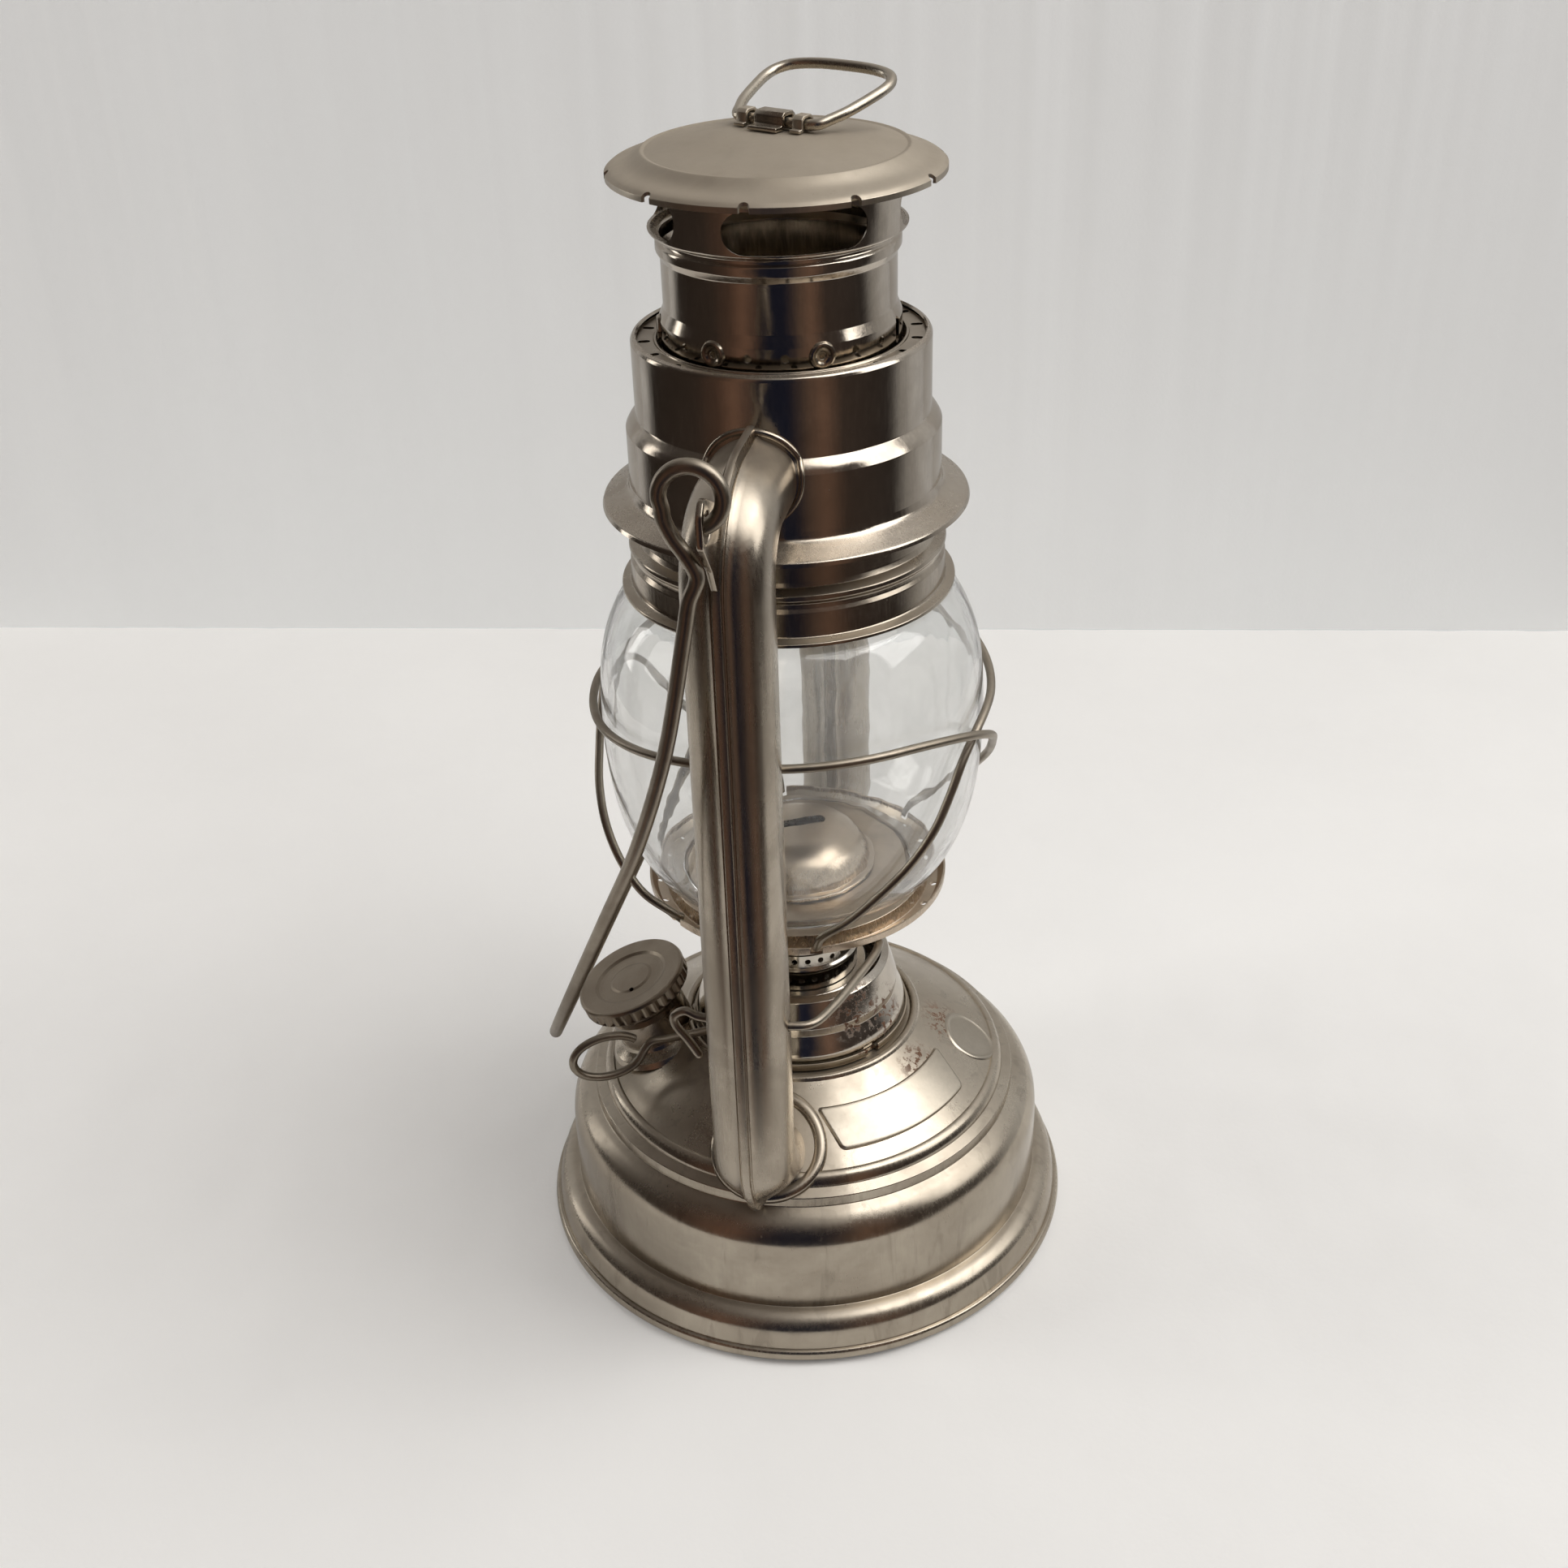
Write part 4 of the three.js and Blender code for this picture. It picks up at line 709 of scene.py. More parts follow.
KNURLS, KNURL_DEPTH, KNURL_FROM = 32, 0.8, 13.2
cap_top = NECK_TOP + GAP + GASKET + GAP + 1.0
cap_line = fillet([(r, cap_top - drop) for r, drop in (
    (10.4, 4.2), (13.9, 4.2), (14.1, 3.9), (14.1, 1.1), (14.2, 0.9), (13.9, 0.15), (13.3, 0), (11.6, 0.1),
    (9.6, 0.25), (8.8, 0.7), (8.0, 0.8), (5.6, 0.75), (4.9, 0.45), (2.2, 0.4), (0, 0.4), (0, 1.4),
    (10.4, 1.4),
)], 0.3)


def knurled(bm, low, high):
    """Presses upright grooves into the rim between two heights."""
    for v in bm.verts:
        r = math.hypot(v.co.x, v.co.y)
        if r > KNURL_FROM * MM and low * MM <= v.co.z <= high * MM:
            groove = (0.5 * (1 - math.cos(KNURLS * math.atan2(v.co.y, v.co.x)))) ** 2
            k = (r - KNURL_DEPTH * MM * groove) / r
            v.co.x *= k
            v.co.y *= k
    return bm


lid = knurled(revolved(cap_line, 256), cap_top - 4.0, cap_top - 1.0)
filler_cap = to_object("filler_lid", moved(lid, filler_place))
filler_cap = combine(filler_cap, [moved(rod(0.6, -6, 2), filler_place @ shift(0, 5, cap_top))])
finish_piece(filler_cap, "cap", ["filler_cap"], LID)

# Burner

GALLERY_Z = 100.7
SHAFT_ANGLE, SHAFT_OFFSET, SHAFT_Z, SHAFT_BORE = math.radians(-151.8), 7.2, 60.6, 1.35
WICK_WIDE, WICK_DEEP, SLEEVE = 13, 1.6, 1.8
wick_turn = turn(SHAFT_ANGLE)
along = Vector((math.cos(SHAFT_ANGLE), math.sin(SHAFT_ANGLE), 0))
aside = Vector((-along.y, along.x, 0)) * SHAFT_OFFSET


def shaft_point(distance, z):
    p = along * distance + aside
    return (p.x, p.y, z)


def on_shaft(bm, distance):
    return moved(bm, shift(*shaft_point(distance, SHAFT_Z)) @ turn(SHAFT_ANGLE) @ ALONG_X)


seat_line = [
    (14.7, 47.7), (14.7, 56.7), (26.4, 56.7), (27.0, 57.2), (27.0, 58.9), (26.5, 58.9), (26.5, 57.7),
    (13, 57.7), (13, 47.7),
]
seat = to_object("burner_seat", revolved(fillet(seat_line, 0.25), 128))
seat = combine(seat, [moved(box(1.6, 1.7, 56, 60), turn(math.radians(-38)) @ shift(27.0, 0, 0))])
finish_piece(seat, "frame", ["burner_base"], SEAT)

bowl_points = [
    (24.6, 58.0), (26.0, 58.6), (26.2, 61.0), (24.1, 65.2), (24.3, 67.5), (22.3, 74.0), (20.6, 75.0),
]
bowl = to_object("burner_bowl", pressed(smooth(bowl_points, (1, 3, 4, 5), 4, 0.7), SHEET, 128))
bowl = combine(bowl, [on_shaft(rod(SHAFT_BORE, -20, 20, 24), 20)])
finish_piece(bowl, "frame", ["burner_cup"], BRIGHT)

drum_line = [(0, 71.4), (16.4, 71.4), (16.4, 58), (17, 58), (17, 71.4), (16.4, 72), (0, 72)]
drum = to_object("burner_drum", revolved(fillet(drum_line, 0.4), MIDDLE, closed=False))
drum = combine(drum, [
    moved(prism(obround(16, 4.6), 64, 80), wick_turn),
    on_shaft(rod(SHAFT_BORE, -30, 20, 24), 18),
])
finish_piece(drum, "frame", ["burner_housing"], BRIGHT)

SCREEN_LOW, SCREEN_R, SCREEN_ROWS, SCREEN_HOLES = 72.3, 14.4, 5, 28
SCREEN_TOP = GALLERY_Z - 0.6


def screen_height(rows):
    return SCREEN_LOW + (SCREEN_TOP - SCREEN_LOW) * rows / SCREEN_ROWS


screen_line = [(SCREEN_R, SCREEN_LOW)]
for i in range(1, SCREEN_ROWS):
    rib = screen_height(i)
    screen_line += [(SCREEN_R, rib - 1.0), (15.0, rib - 0.35), (15.0, rib + 0.35), (SCREEN_R, rib + 1.0)]
screen_line += [
    (SCREEN_R, SCREEN_TOP), (22, SCREEN_TOP), (22, GALLERY_Z), (13.8, GALLERY_Z), (13.8, SCREEN_LOW),
]
screen = to_object("pierced_screen", revolved(fillet(screen_line, 0.4), MIDDLE))
pins = []
for row in range(SCREEN_ROWS):
    for i in range(SCREEN_HOLES):
        a = 2 * math.pi * (i + row / 2) / SCREEN_HOLES
        pins.append(on_wall(rod(0.75, -2, 2, 10), 14.2, a, screen_height(row + 0.5)))
finish_piece(combine(screen, pins), "frame", ["air_screen"], BRIGHT)

sleeve = prism(obround(WICK_WIDE + SLEEVE, WICK_DEEP + SLEEVE), 52, 104)
sleeve = combine(to_object("wick_sleeve", moved(sleeve, wick_turn)), [
    moved(prism(obround(WICK_WIDE + 0.6, WICK_DEEP + 0.6), 50, 108), wick_turn),
])
sleeve = combine(sleeve, [on_shaft(rod(6.2, -5, 5, 32), 0)])
finish_piece(sleeve, "frame", ["wick_tube"], BRIGHT)

strip = to_object("wick_strip_cloth", moved(prism(obround(WICK_WIDE, WICK_DEEP), 25.4, 105.4), wick_turn))
finish_piece(bevelled(strip, 0.3), "wick_strip", ["wick"], COTTON)

WHEEL_R, TOOTH, TEETH = 5.2, 0.7, 10


def wheel(name, distance, cad):
    outline = []
    for i in range(TEETH):
        for lift, part in ((0, -0.30), (TOOTH, -0.1), (TOOTH, 0.1), (0, 0.30)):
            outline.append(polar(WHEEL_R + lift, 2 * math.pi * (i + part) / TEETH)[:2])
    body = to_object(name, on_shaft(prism(outline, -0.55, 0.55), distance))
    body = combine(body, [on_shaft(rod(SHAFT_BORE, -2, 2), distance)])
    return finish_piece(bevelled(body, 0.12, 2), "wick_drive", [cad], DULL)


wheel("wick_wheel_a", 2.5, "wick_wheel_outer")
wheel("wick_wheel_b", -2.5, "wick_wheel_inner")

KEY_OUT, KEY_LONG, KEY_TALL = 43.4, 8.75, 6.1
key = [shaft_point(d, SHAFT_Z) for d in (-7, 7, 26.2, KEY_OUT - 6.3, KEY_OUT - 2.1)]
for i in range(21):
    t = math.radians(155 - 300 * i / 20)
    key.append(shaft_point(KEY_OUT + KEY_LONG * (1 + math.cos(t)), SHAFT_Z - 1.6 - KEY_TALL * math.sin(t)))
wire_piece("wick_key", key, 2.1, "wick_drive", ["wick_shaft"], sides=14, steps=5)

# Globe plate and cone

PLATE_Z = 96.9
PLATE_R = 36.1
WALL_R = between(32.4, PLATE_R, 0.5)
INNER_Z = PLATE_Z + 4.1
plate_line = [
    (PLATE_R, PLATE_Z + 3.5), (35.5, PLATE_Z + 3.5), (35.5, PLATE_Z + 2.45), (WALL_R, PLATE_Z + 0.95),
    (31.8, PLATE_Z + 0.6), (31.2, PLATE_Z + 3.8), (27.6, PLATE_Z + 3.8), (26.8, PLATE_Z + 4.7),
    (16.8, PLATE_Z + 4.7), (16.8, INNER_Z), (23.8, INNER_Z), (23.8, PLATE_Z - 4.6), (24.4, PLATE_Z - 4.6),
    (24.4, INNER_Z), (26.2, INNER_Z), (27.6, PLATE_Z + 3.2), (30.6, PLATE_Z + 3.2), (31.2, PLATE_Z),
    (33.0, PLATE_Z), (PLATE_R, PLATE_Z + 1.85),
]
tray = to_object("globe_tray", revolved(rounded(plate_line, 0.35), 192))
holes = []
for a in full_turn(24):
    holes.append(moved(rod(0.8, -3, 4, 14), shift(*polar(WALL_R - 0.8, a, PLATE_Z))))
for degrees in (108, 49, 288, 229):
    notch = turn(math.radians(degrees)) @ shift(PLATE_R, 0, PLATE_Z + 3.05)
    holes.append(moved(box(1.3, 1.45, -1.75, 1.75), notch))
finish_piece(combine(tray, holes), "globe_unit", ["globe_plate"], WARM)

CONE_Z, CONE_R, CONE_TALL = INNER_Z + SHEET + GAP, 19.2, 10.4
cone_points = [(CONE_R * r, CONE_Z + CONE_TALL * z) for r, z in (
    (1, 0), (1, 0.05), (0.917, 0.077), (0.896, 0.29), (0.79, 0.615), (0.573, 0.885), (0.26, 0.99), (0, 1),
)]
cone = to_object("flame_dome", pressed(smooth(cone_points, (2,), 6, 0.5), SHEET, 128))
flame_slot = prism(obround(14.6, 2.9), CONE_Z + 5.2, CONE_Z + 16)
cone = combine(cone, [moved(flame_slot, wick_turn)])
finish_piece(cone, "globe_unit", ["burner_cone"], WARM)

# Globe

GLOBE_Z, GLOBE_R, GLOBE_TALL, GLASS_THICK = 101.0, 44.1, 81.6, 1.5
globe_points = [(GLOBE_R * r, GLOBE_Z + GLOBE_TALL * z) for r, z in (
    (0.653, 0), (0.703, 0.027), (0.791, 0.061), (0.905, 0.172), (0.973, 0.306), (1, 0.453), (1, 0.6),
    (0.982, 0.723), (0.932, 0.821), (0.853, 0.901), (0.769, 0.946), (0.753, 0.98), (0.753, 1),
)]
globe = to_object("glass_globe", pressed(smooth(globe_points, (), 8), GLASS_THICK, 192), 80)
finish_piece(globe, "globe_unit", ["globe"], GLASS)

# Guard wires

GUARD_R, GUARD_RISE, GUARD_WIRE = 46.2, 54, 2
BACK_CREST = 5
guard_shares = [
    (108, 0.745, -0.026), (108.3, 0.782, 0), (109.6, 0.8, 0.05), (119, 0.838, 0.14), (129.5, 0.893, 0.275),
    (137.5, 0.945, 0.4), (144.4, 0.985, 0.54), (151, 0.99, 0.677), (156.5, 0.99, 0.785), (163, 0.99, 0.857),
    (172, 0.99, 0.895), (183, 0.992, 0.9), (196, 0.994, 0.893), (209, 0.996, 0.895), (222, 0.996, 0.91),
    (237, 0.996, 0.935), (252, 0.996, 0.962), (270, 0.993, 0.98), (287, 0.996, 0.988), (303, 0.997, 0.988),
    (318, 1.002, 0.975), (331, 1.022, 0.94), (341, 1.043, 0.89), (350, 1.04, 0.815), (358.5, 1.015, 0.72),
    (368, 1, 0.6), (378, 1.002, 0.48), (387, 0.995, 0.355), (395, 0.962, 0.225), (402, 0.903, 0.11),
    (407.5, 0.82, 0.035), (408.9, 0.775, -0.005), (409, 0.745, -0.026),
]


def guard(name, cad, half, crest):
    """One guard wire round the globe, with its top arch raised by crest."""
    path = []
    for degrees, r, h in guard_shares:
        lift = crest * math.sin(math.pi * min(max((degrees - 165) / 135, 0), 1)) ** 2
        z = GLOBE_Z + GUARD_RISE * h + lift
        path.append(polar(GUARD_R * r, math.radians(degrees) + half, z))
    return wire_piece(name, path, GUARD_WIRE, "globe_unit", [cad], sides=14)


guard("guard_a", "guard_wire_front", 0, 0)
guard("guard_b", "guard_wire_back", math.pi, BACK_CREST)

# Collar, chimney, cap

COLLAR_Z, COLLAR_TALL, COLLAR_IN, COLLAR_OUT = 178.0, 33, 24.4, 37.1
collar_points = [(between(COLLAR_IN, COLLAR_OUT, r), COLLAR_Z + COLLAR_TALL * z) for r, z in (
    (1, 0), (1, 0.02), (0.83, 0.04), (0.82, 0.2), (0.77, 0.23), (0.77, 0.26), (0.84, 0.29), (0.83, 0.32),
    (0.69, 0.358), (0.65, 0.39), (0.65, 0.64), (0, 0.8606), (0, 1),
)]
collar = pressed(fillet(collar_points, 0.7), SHEET, 192)
tin_piece("globe_ring_collar", collar, "chimney_unit", ["globe_collar"], TIN)
ledge_line = [(34.7, 182.9), (34.7, 183.5), (31.7, 183.5), (31.7, 182.9)]
tin_piece("collar_ledge", revolved(fillet(ledge_line, 0.2)), "chimney_unit", [], TIN)

CHIMNEY_Z, CHIMNEY_R, THROAT_R, BAND_Z, BAND_R, BAND_TALL = 206.7, 25.3, 24.3, 251.3, 26.6, 18.8
HOLE_Z, HOLES, HOLE_START = CHIMNEY_Z + 29.0, 21, math.radians(-59.5)
VENTS, VENT_HALF, VENT_TALL = 4, math.radians(32.5), 8.4
chimney_points = [
    (CHIMNEY_R, CHIMNEY_Z), (CHIMNEY_R, CHIMNEY_Z + 31), (THROAT_R, CHIMNEY_Z + 33.4),
    (THROAT_R, BAND_Z - 1),
]
chimney_points += [(between(THROAT_R, BAND_R, r), BAND_Z + BAND_TALL * z) for r, z in (
    (0.4, 0.03), (0.4, 0.12), (0.1, 0.16), (0.15, 0.2), (1, 0.24), (1, 0.74), (0.7, 0.82), (0.4, 0.87),
    (0.4, 1), (-0.8, 1),
)]


def is_slot(i):
    return i % 9 == 3


def hole_angle(i):
    return HOLE_START + 2 * math.pi * i / HOLES


chimney = to_object("chimney_pipe", pressed(fillet(chimney_points, 0.8), SHEET, 192))
tools = []
for i in range(VENTS):
    vent = prism(obround(2 * BAND_R * math.sin(VENT_HALF), VENT_TALL, 16), -14, 14)
    tools.append(on_wall(vent, BAND_R, math.radians(-70 + 90 * i), BAND_Z + 9.2))
for i in range(HOLES):
    upright_slot = [(y, x) for x, y in obround(5.4, 2.2, 8)]
    hole = prism(upright_slot, -3, 3) if is_slot(i) else rod(0.9, -3, 3, 16)
    tools.append(on_wall(hole, CHIMNEY_R, hole_angle(i), HOLE_Z))
finish_piece(combine(chimney, tools), "chimney_unit", ["chimney_tube"], PIPE)
boss_line = [(2.9, -0.3), (2.6, 0.3), (2.2, 0.45), (1.6, 0.3), (1.2, 0.05), (0.7, 0), (0.7, -0.3)]
for i in range(0, HOLES, 3):
    if not is_slot(i):
        boss = on_wall(revolved(fillet(boss_line, 0.15), 40), CHIMNEY_R + 0.05, hole_angle(i), HOLE_Z)
        tin_piece(f"chimney_boss_{i}", boss, "chimney_unit", [], TIN)

CAP_Z, CAP_R, CROWN_RISE, CROWN_Z = 266.4, 34.4, 7.9, 274.3
cap_points = [(CAP_R * r, CAP_Z + CROWN_RISE * z) for r, z in (
    (1, 0), (1, 0.14), (0.97, 0.24), (0.87, 0.38), (0.785, 0.62), (0.762, 0.585),
    (0.6, 0.73), (0.42, 0.88), (0.31, 0.97), (0.25, 1), (0.12, 1), (0, 1),
)]
cap_piece = to_object("chimney_crown", pressed(smooth(cap_points, (1, 4, 5), 5, 0.6), SHEET, WIDE_ROUND))
nicks = []
for i in range(10):
    nicks.append(moved(rod(1.1, -3, 3), shift(*polar(CAP_R, math.radians(-88.6 + 36 * i), CAP_Z))))
cap_piece = combine(cap_piece, nicks, folded=True)
finish_piece(cap_piece, "chimney_unit", ["chimney_cap"], DUSTY)

# Lifting ring

RING_TURN = math.radians(-25.5)
RING_LONG, RING_HALF, RING_WIRE = 25, 14.5, 2.2
RING_LEAN = math.radians(75)
crown_place = shift(0, 0, CROWN_Z + GAP) @ turn(RING_TURN)
strap_outline = [
    (-4.5, 0), (-1.4, 0), (-1.4, 2.5), (1.4, 2.5), (1.4, 0), (4.5, 0), (4.5, 0.8), (2.2, 0.8), (2.2, 2.5),
    (1.4, 3.3), (-1.4, 3.3), (-2.2, 2.5), (-2.2, 0.8), (-4.5, 0.8),
]


def across_hinge(name, outline, half, along_hinge, nodes, material):
    """A bent strip on the crown, raised from its outline across the hinge of the ring."""
    place = crown_place @ shift(along_hinge, 0, 0) @ turn(QUARTER) @ UPRIGHT
    strip = to_object(name, moved(prism(outline, -half, half), place))
    return finish_piece(bevelled(strip, 0.15, 2), "chimney_unit", nodes, material)


across_hinge("ring_saddle", rounded(strap_outline, 0.5), 3.5, 0, ["ring_strap"], TIN)
lug_outline = [
    (-3.0, 0), (-1.35, 0), (-1.35, 2.1), (-0.8, 2.5), (0.8, 2.5), (1.35, 2.1), (1.35, 0), (3.0, 0),
    (3.0, 0.6), (2.0, 0.6), (2.0, 2.4), (1.2, 3.1), (-1.2, 3.1), (-2.0, 2.4), (-2.0, 0.6), (-3.0, 0.6),
]
across_hinge("ring_arch_a", lug_outline, 1.2, -6.9, [], DUSTY)
across_hinge("ring_arch_b", lug_outline, 1.2, 6.9, [], DUSTY)

ring_shares = [
    (0.06, 0), (0.4, 0), (0.6, 0.012), (0.7, 0.04), (0.77, 0.12), (0.876, 0.26), (0.938, 0.4),
    (0.986, 0.54), (1.02, 0.68), (1, 0.8), (0.869, 0.91), (0.538, 0.98),
]


def ring_point(across, share):
    length = RING_LONG * share
    out, up = length * math.sin(RING_LEAN), length * math.cos(RING_LEAN) + RING_WIRE / 2
    p = Vector((across * RING_HALF, out, up))
    return tuple(crown_place.to_3x3() @ p + Vector((0, 0, CROWN_Z + GAP)))


ring_path = [ring_point(-a, s) for a, s in ring_shares] + [ring_point(0, 1)]
ring_path += [ring_point(a, s) for a, s in ring_shares[::-1]]
wire_piece("carry_ring", ring_path, RING_WIRE, "ring", ["lifting_ring"], RING_PAINTED_LIGHT)

# Hood

HOOD_Z, HOOD_TOP, BRIM_R, HOOD_R, BRIM_TALL, COLLAR_R = 197.4, 234.2, 40, 33.8, 4, 31.6
SHOULDER_Z = HOOD_Z + 17.4
hood_points = [(between(BRIM_R, HOOD_R, r), HOOD_Z + BRIM_TALL * z) for r, z in (
    (0, 0), (0.05, 0.22), (0.58, 0.6), (0.9, 0.88),
)]
hood_points += [
    (HOOD_R, HOOD_Z + 5.1), (HOOD_R, SHOULDER_Z - 0.385), (33.03, SHOULDER_Z + 0.91),
    (COLLAR_R, SHOULDER_Z + 2.6), (COLLAR_R, HOOD_TOP - 1.1), (31.2, HOOD_TOP - 0.4), (30.5, HOOD_TOP),
]
hood_line = smooth(hood_points, (1, 4, 5, 7, 8), 5, 0.9)
tin_piece("hood_drum", pressed(hood_line, SHEET, WIDE_ROUND), "frame", ["hood_shell"], PIPE)

DECK_Z, DECK_R, BORE_R, DECK_SLOTS = 233.0, 30.7, 26.1, 20
deck_line = [
    (DECK_R, DECK_Z - SHEET), (DECK_R, DECK_Z), (26.8, DECK_Z), (26.6, DECK_Z + 0.4),
    (BORE_R, DECK_Z + 0.4), (BORE_R, DECK_Z - SHEET),
]
deck = to_object("hood_top_deck", revolved(rounded(deck_line, 0.25), 192))
slots = []
for i in range(DECK_SLOTS):
    place = turn(math.radians(360 * i / DECK_SLOTS)) @ shift(28.7, 0, DECK_Z)
    slots.append(moved(prism(obround(2.6, 1.5, 8), -3, 3), place))
finish_piece(combine(deck, slots), "frame", ["hood_deck"], TIN)

# Side tubes

SIDES = (("front", 0), ("back", math.pi))
TUBE_D, HALF_W, HALF_D, TOP_R, FOOT_R = 57.2, 9.2, 8.5, 13.5, 14.0
TUBE_TOP, FOOT_Z, FOOT_TURN = 213.6, 59.7, math.radians(65)
TOP_STEPS, FOOT_STEPS, FOOT_RUN = 18, 14, 10
SEAM_STEPS = (0, 1.6, 3.0, 4.2, 5.2, 6.4, 8, 10.5)
SQUARISH = 2 / 2.4


def tube_stations():
    """The tube's middle line as (outward, height) places, each with its outward direction."""
    rows = [((28, TUBE_TOP), (0, 1)), ((36, TUBE_TOP), (0, 1))]
    for i in range(TOP_STEPS + 1):
        a = QUARTER * (1 - i / TOP_STEPS)
        f = (math.cos(a), math.sin(a))
        rows.append(((TUBE_D - TOP_R + TOP_R * f[0], TUBE_TOP - TOP_R + TOP_R * f[1]), f))
    for share in (0.1, 0.3, 0.5, 0.7, 0.9):
        rows.append(((TUBE_D, between(TUBE_TOP - TOP_R, FOOT_Z, share)), (1, 0)))
    for i in range(FOOT_STEPS + 1):
        a = FOOT_TURN * i / FOOT_STEPS
        f = (math.cos(a), -math.sin(a))
        rows.append(((TUBE_D - FOOT_R + FOOT_R * f[0], FOOT_Z + FOOT_R * f[1]), f))
    (x, z), f = rows[-1]
    rows.append(((x + f[1] * FOOT_RUN, z - f[0] * FOOT_RUN), f))
    return rows


def section_angles():
    """Degrees round a tube's section, close together at the seams."""
    side = [90 - x for x in range(16, 91, 6)]
    quarter = sorted({*side, 0, *(90 - x for x in SEAM_STEPS)})
    half = quarter + [180 - a for a in quarter[-2::-1]]
    return half + [180 + a for a in half[1:-1]]


def tube_ring(at, face, keel, rib):
    """One section of a side tube: a squarish oval with a seam rib between two creases."""
    out = []
    for degrees in section_angles():
        a = math.radians(degrees)
        c, s = math.cos(a), math.sin(a)
        across = math.copysign(abs(c) ** SQUARISH, c) * HALF_W
        off = math.copysign(abs(s) ** SQUARISH, s) * HALF_D
        if s > 0:
            off = between(off, HALF_D * 1.12 * (1 - abs(across / HALF_W) ** 1.15), keel)
        near = abs(degrees % 180 - 90)
        ridge = rib * (1 - ease(near, 3.0, 5.4)) - 0.5 * math.exp(-(((near - 6.6) / 2.2) ** 2))
        off += math.copysign(ridge, s)
        out.append((across, -(at[0] + face[0] * off), at[1] + face[1] * off))
    return out


LEVER_Z = 95.6


def side_tube(name, cad, half, lever_hole):
    """A tube whose upper end is cut by the hood and whose seam grows at both bends."""
    rows = tube_stations()
    rings = []
    for i, (at, face) in enumerate(rows):
        foot = ease(i, len(rows) - 13, len(rows) - 3)
        top = 1 - ease(i, 2, 14)
        rings.append(tube_ring(at, face, 0.75 * foot + 0.3 * top, 1.1 + 0.5 * foot + 0.9 * top))
    body = to_object(name, moved(loft(rings), turn(half)), 34)
    cuts = [revolved([(0, HOOD_Z), *offset(hood_line, -0.3), (0, HOOD_TOP)], 192, closed=False)]
    if lever_hole:
        cuts.append(moved(rod(1.3, -16, 16), shift(0, -TUBE_D, LEVER_Z) @ ALONG_X))
    return finish_piece(combine(body, cuts, sharp=40), "frame", [cad], TUBE)


side_tube("air_tube_front", "side_tube_front", 0, True)
side_tube("air_tube_back", "side_tube_back", math.pi, False)


def wall_at(line, z):
    """The radius of an outline at a height."""
    for p, q in zip(line, line[1:]):
        if min(p.y, q.y) <= z <= max(p.y, q.y) and abs(p.y - q.y) > SHORTEST:
            return between(p.x, q.x, (z - p.y) / (q.y - p.y))
    return line[0].x if z < line[0].y else line[-1].x


FOOT_AT, FOOT_SINK, BEAD_LIFT, BEAD_STEPS = 43.2, 0.5, 0.2, 48


def on_hood(across, along, lift):
    z = TUBE_TOP + along
    r = wall_at(hood_line, z) + lift
    return (across, -math.sqrt(r * r - across * across), z)


def on_dome(across, along, lift):
    flat = FOOT_AT + along * math.cos(DOME_SLOPE)
    return (across, -flat, dome_height(math.hypot(flat, across)) + lift - FOOT_SINK)


def saddle(name, wide, tall, on_surface, half, thick=SHEET):
    """A thin oval plate that follows the surface under a tube."""
    shares = (0.3, 0.5, 0.7, 0.85, 1.0)
    rings = []
    for share, lift in [(s, thick) for s in shares] + [(s, 0) for s in shares[::-1]]:
        ring = []
        for a in full_turn(72):
            ring.append(on_surface(wide * share * math.cos(a), tall * share * math.sin(a), lift))
        rings.append(ring)
    return tin_piece(name, moved(loft(rings), turn(half)), "frame", [], TIN, 50)


def rim_bead(name, wide, tall, on_surface, thick, half):
    """A bead round a tube's end, whose ends overlap by one step."""
    path = []
    for i in range(BEAD_STEPS + 2):
        a = 2 * math.pi * i / BEAD_STEPS + QUARTER
        place = Vector(on_surface(wide * math.cos(a), tall * math.sin(a), BEAD_LIFT))
        path.append(turn(half).to_3x3() @ place)
    return tin_piece(name, wire(path, thick, 12, 2), "frame", [], TIN, 50)


for tag, half in SIDES:
    saddle(f"hood_flange_{tag}", HALF_W + 1.2, HALF_D + 1.4, on_hood, half)
    saddle(f"foot_flange_{tag}", HALF_W + 3.8, HALF_D + 4.4, on_dome, half, 0.9)
    rim_bead(f"hood_rim_{tag}", HALF_W + 0.9, HALF_D + 1.1, on_hood, 1.5, half)
    rim_bead(f"foot_rim_{tag}", HALF_W + 3.4, HALF_D + 4.0, on_dome, 3.4, half)

# Bail ears

EYE_OUT, EYE_Z, EYE_R = TUBE_D + 15.3, TUBE_TOP + 6.7, 3.05
EAR_LONG, EAR_LOW, EAR_TALL, EAR_HALF = 19.2, TUBE_TOP - 9.1, 22, 0.65
ear_outline = [(TUBE_D + EAR_LONG * o, EAR_LOW + EAR_TALL * u) for o, u in (
    (0.04, 0), (0.52, 0), (0.69, 0.27), (0.99, 0.59), (1, 0.86), (0.85, 1), (0.35, 0.77), (-0.11, 0.34),
)]
for tag, half in SIDES:
    place = turn(half) @ turn(-QUARTER) @ UPRIGHT
    blank = prism(rounded(ear_outline, 2.2, 8), -EAR_HALF, EAR_HALF)
    ear = to_object(f"bail_lug_{tag}", moved(blank, place))
    ear = combine(ear, [moved(rod(EYE_R, -4, 4, 40), place @ shift(EYE_OUT, EYE_Z, 0))])
    finish_piece(bevelled(ear, 0.25), "frame", [f"bail_ear_{tag}"], TIN)
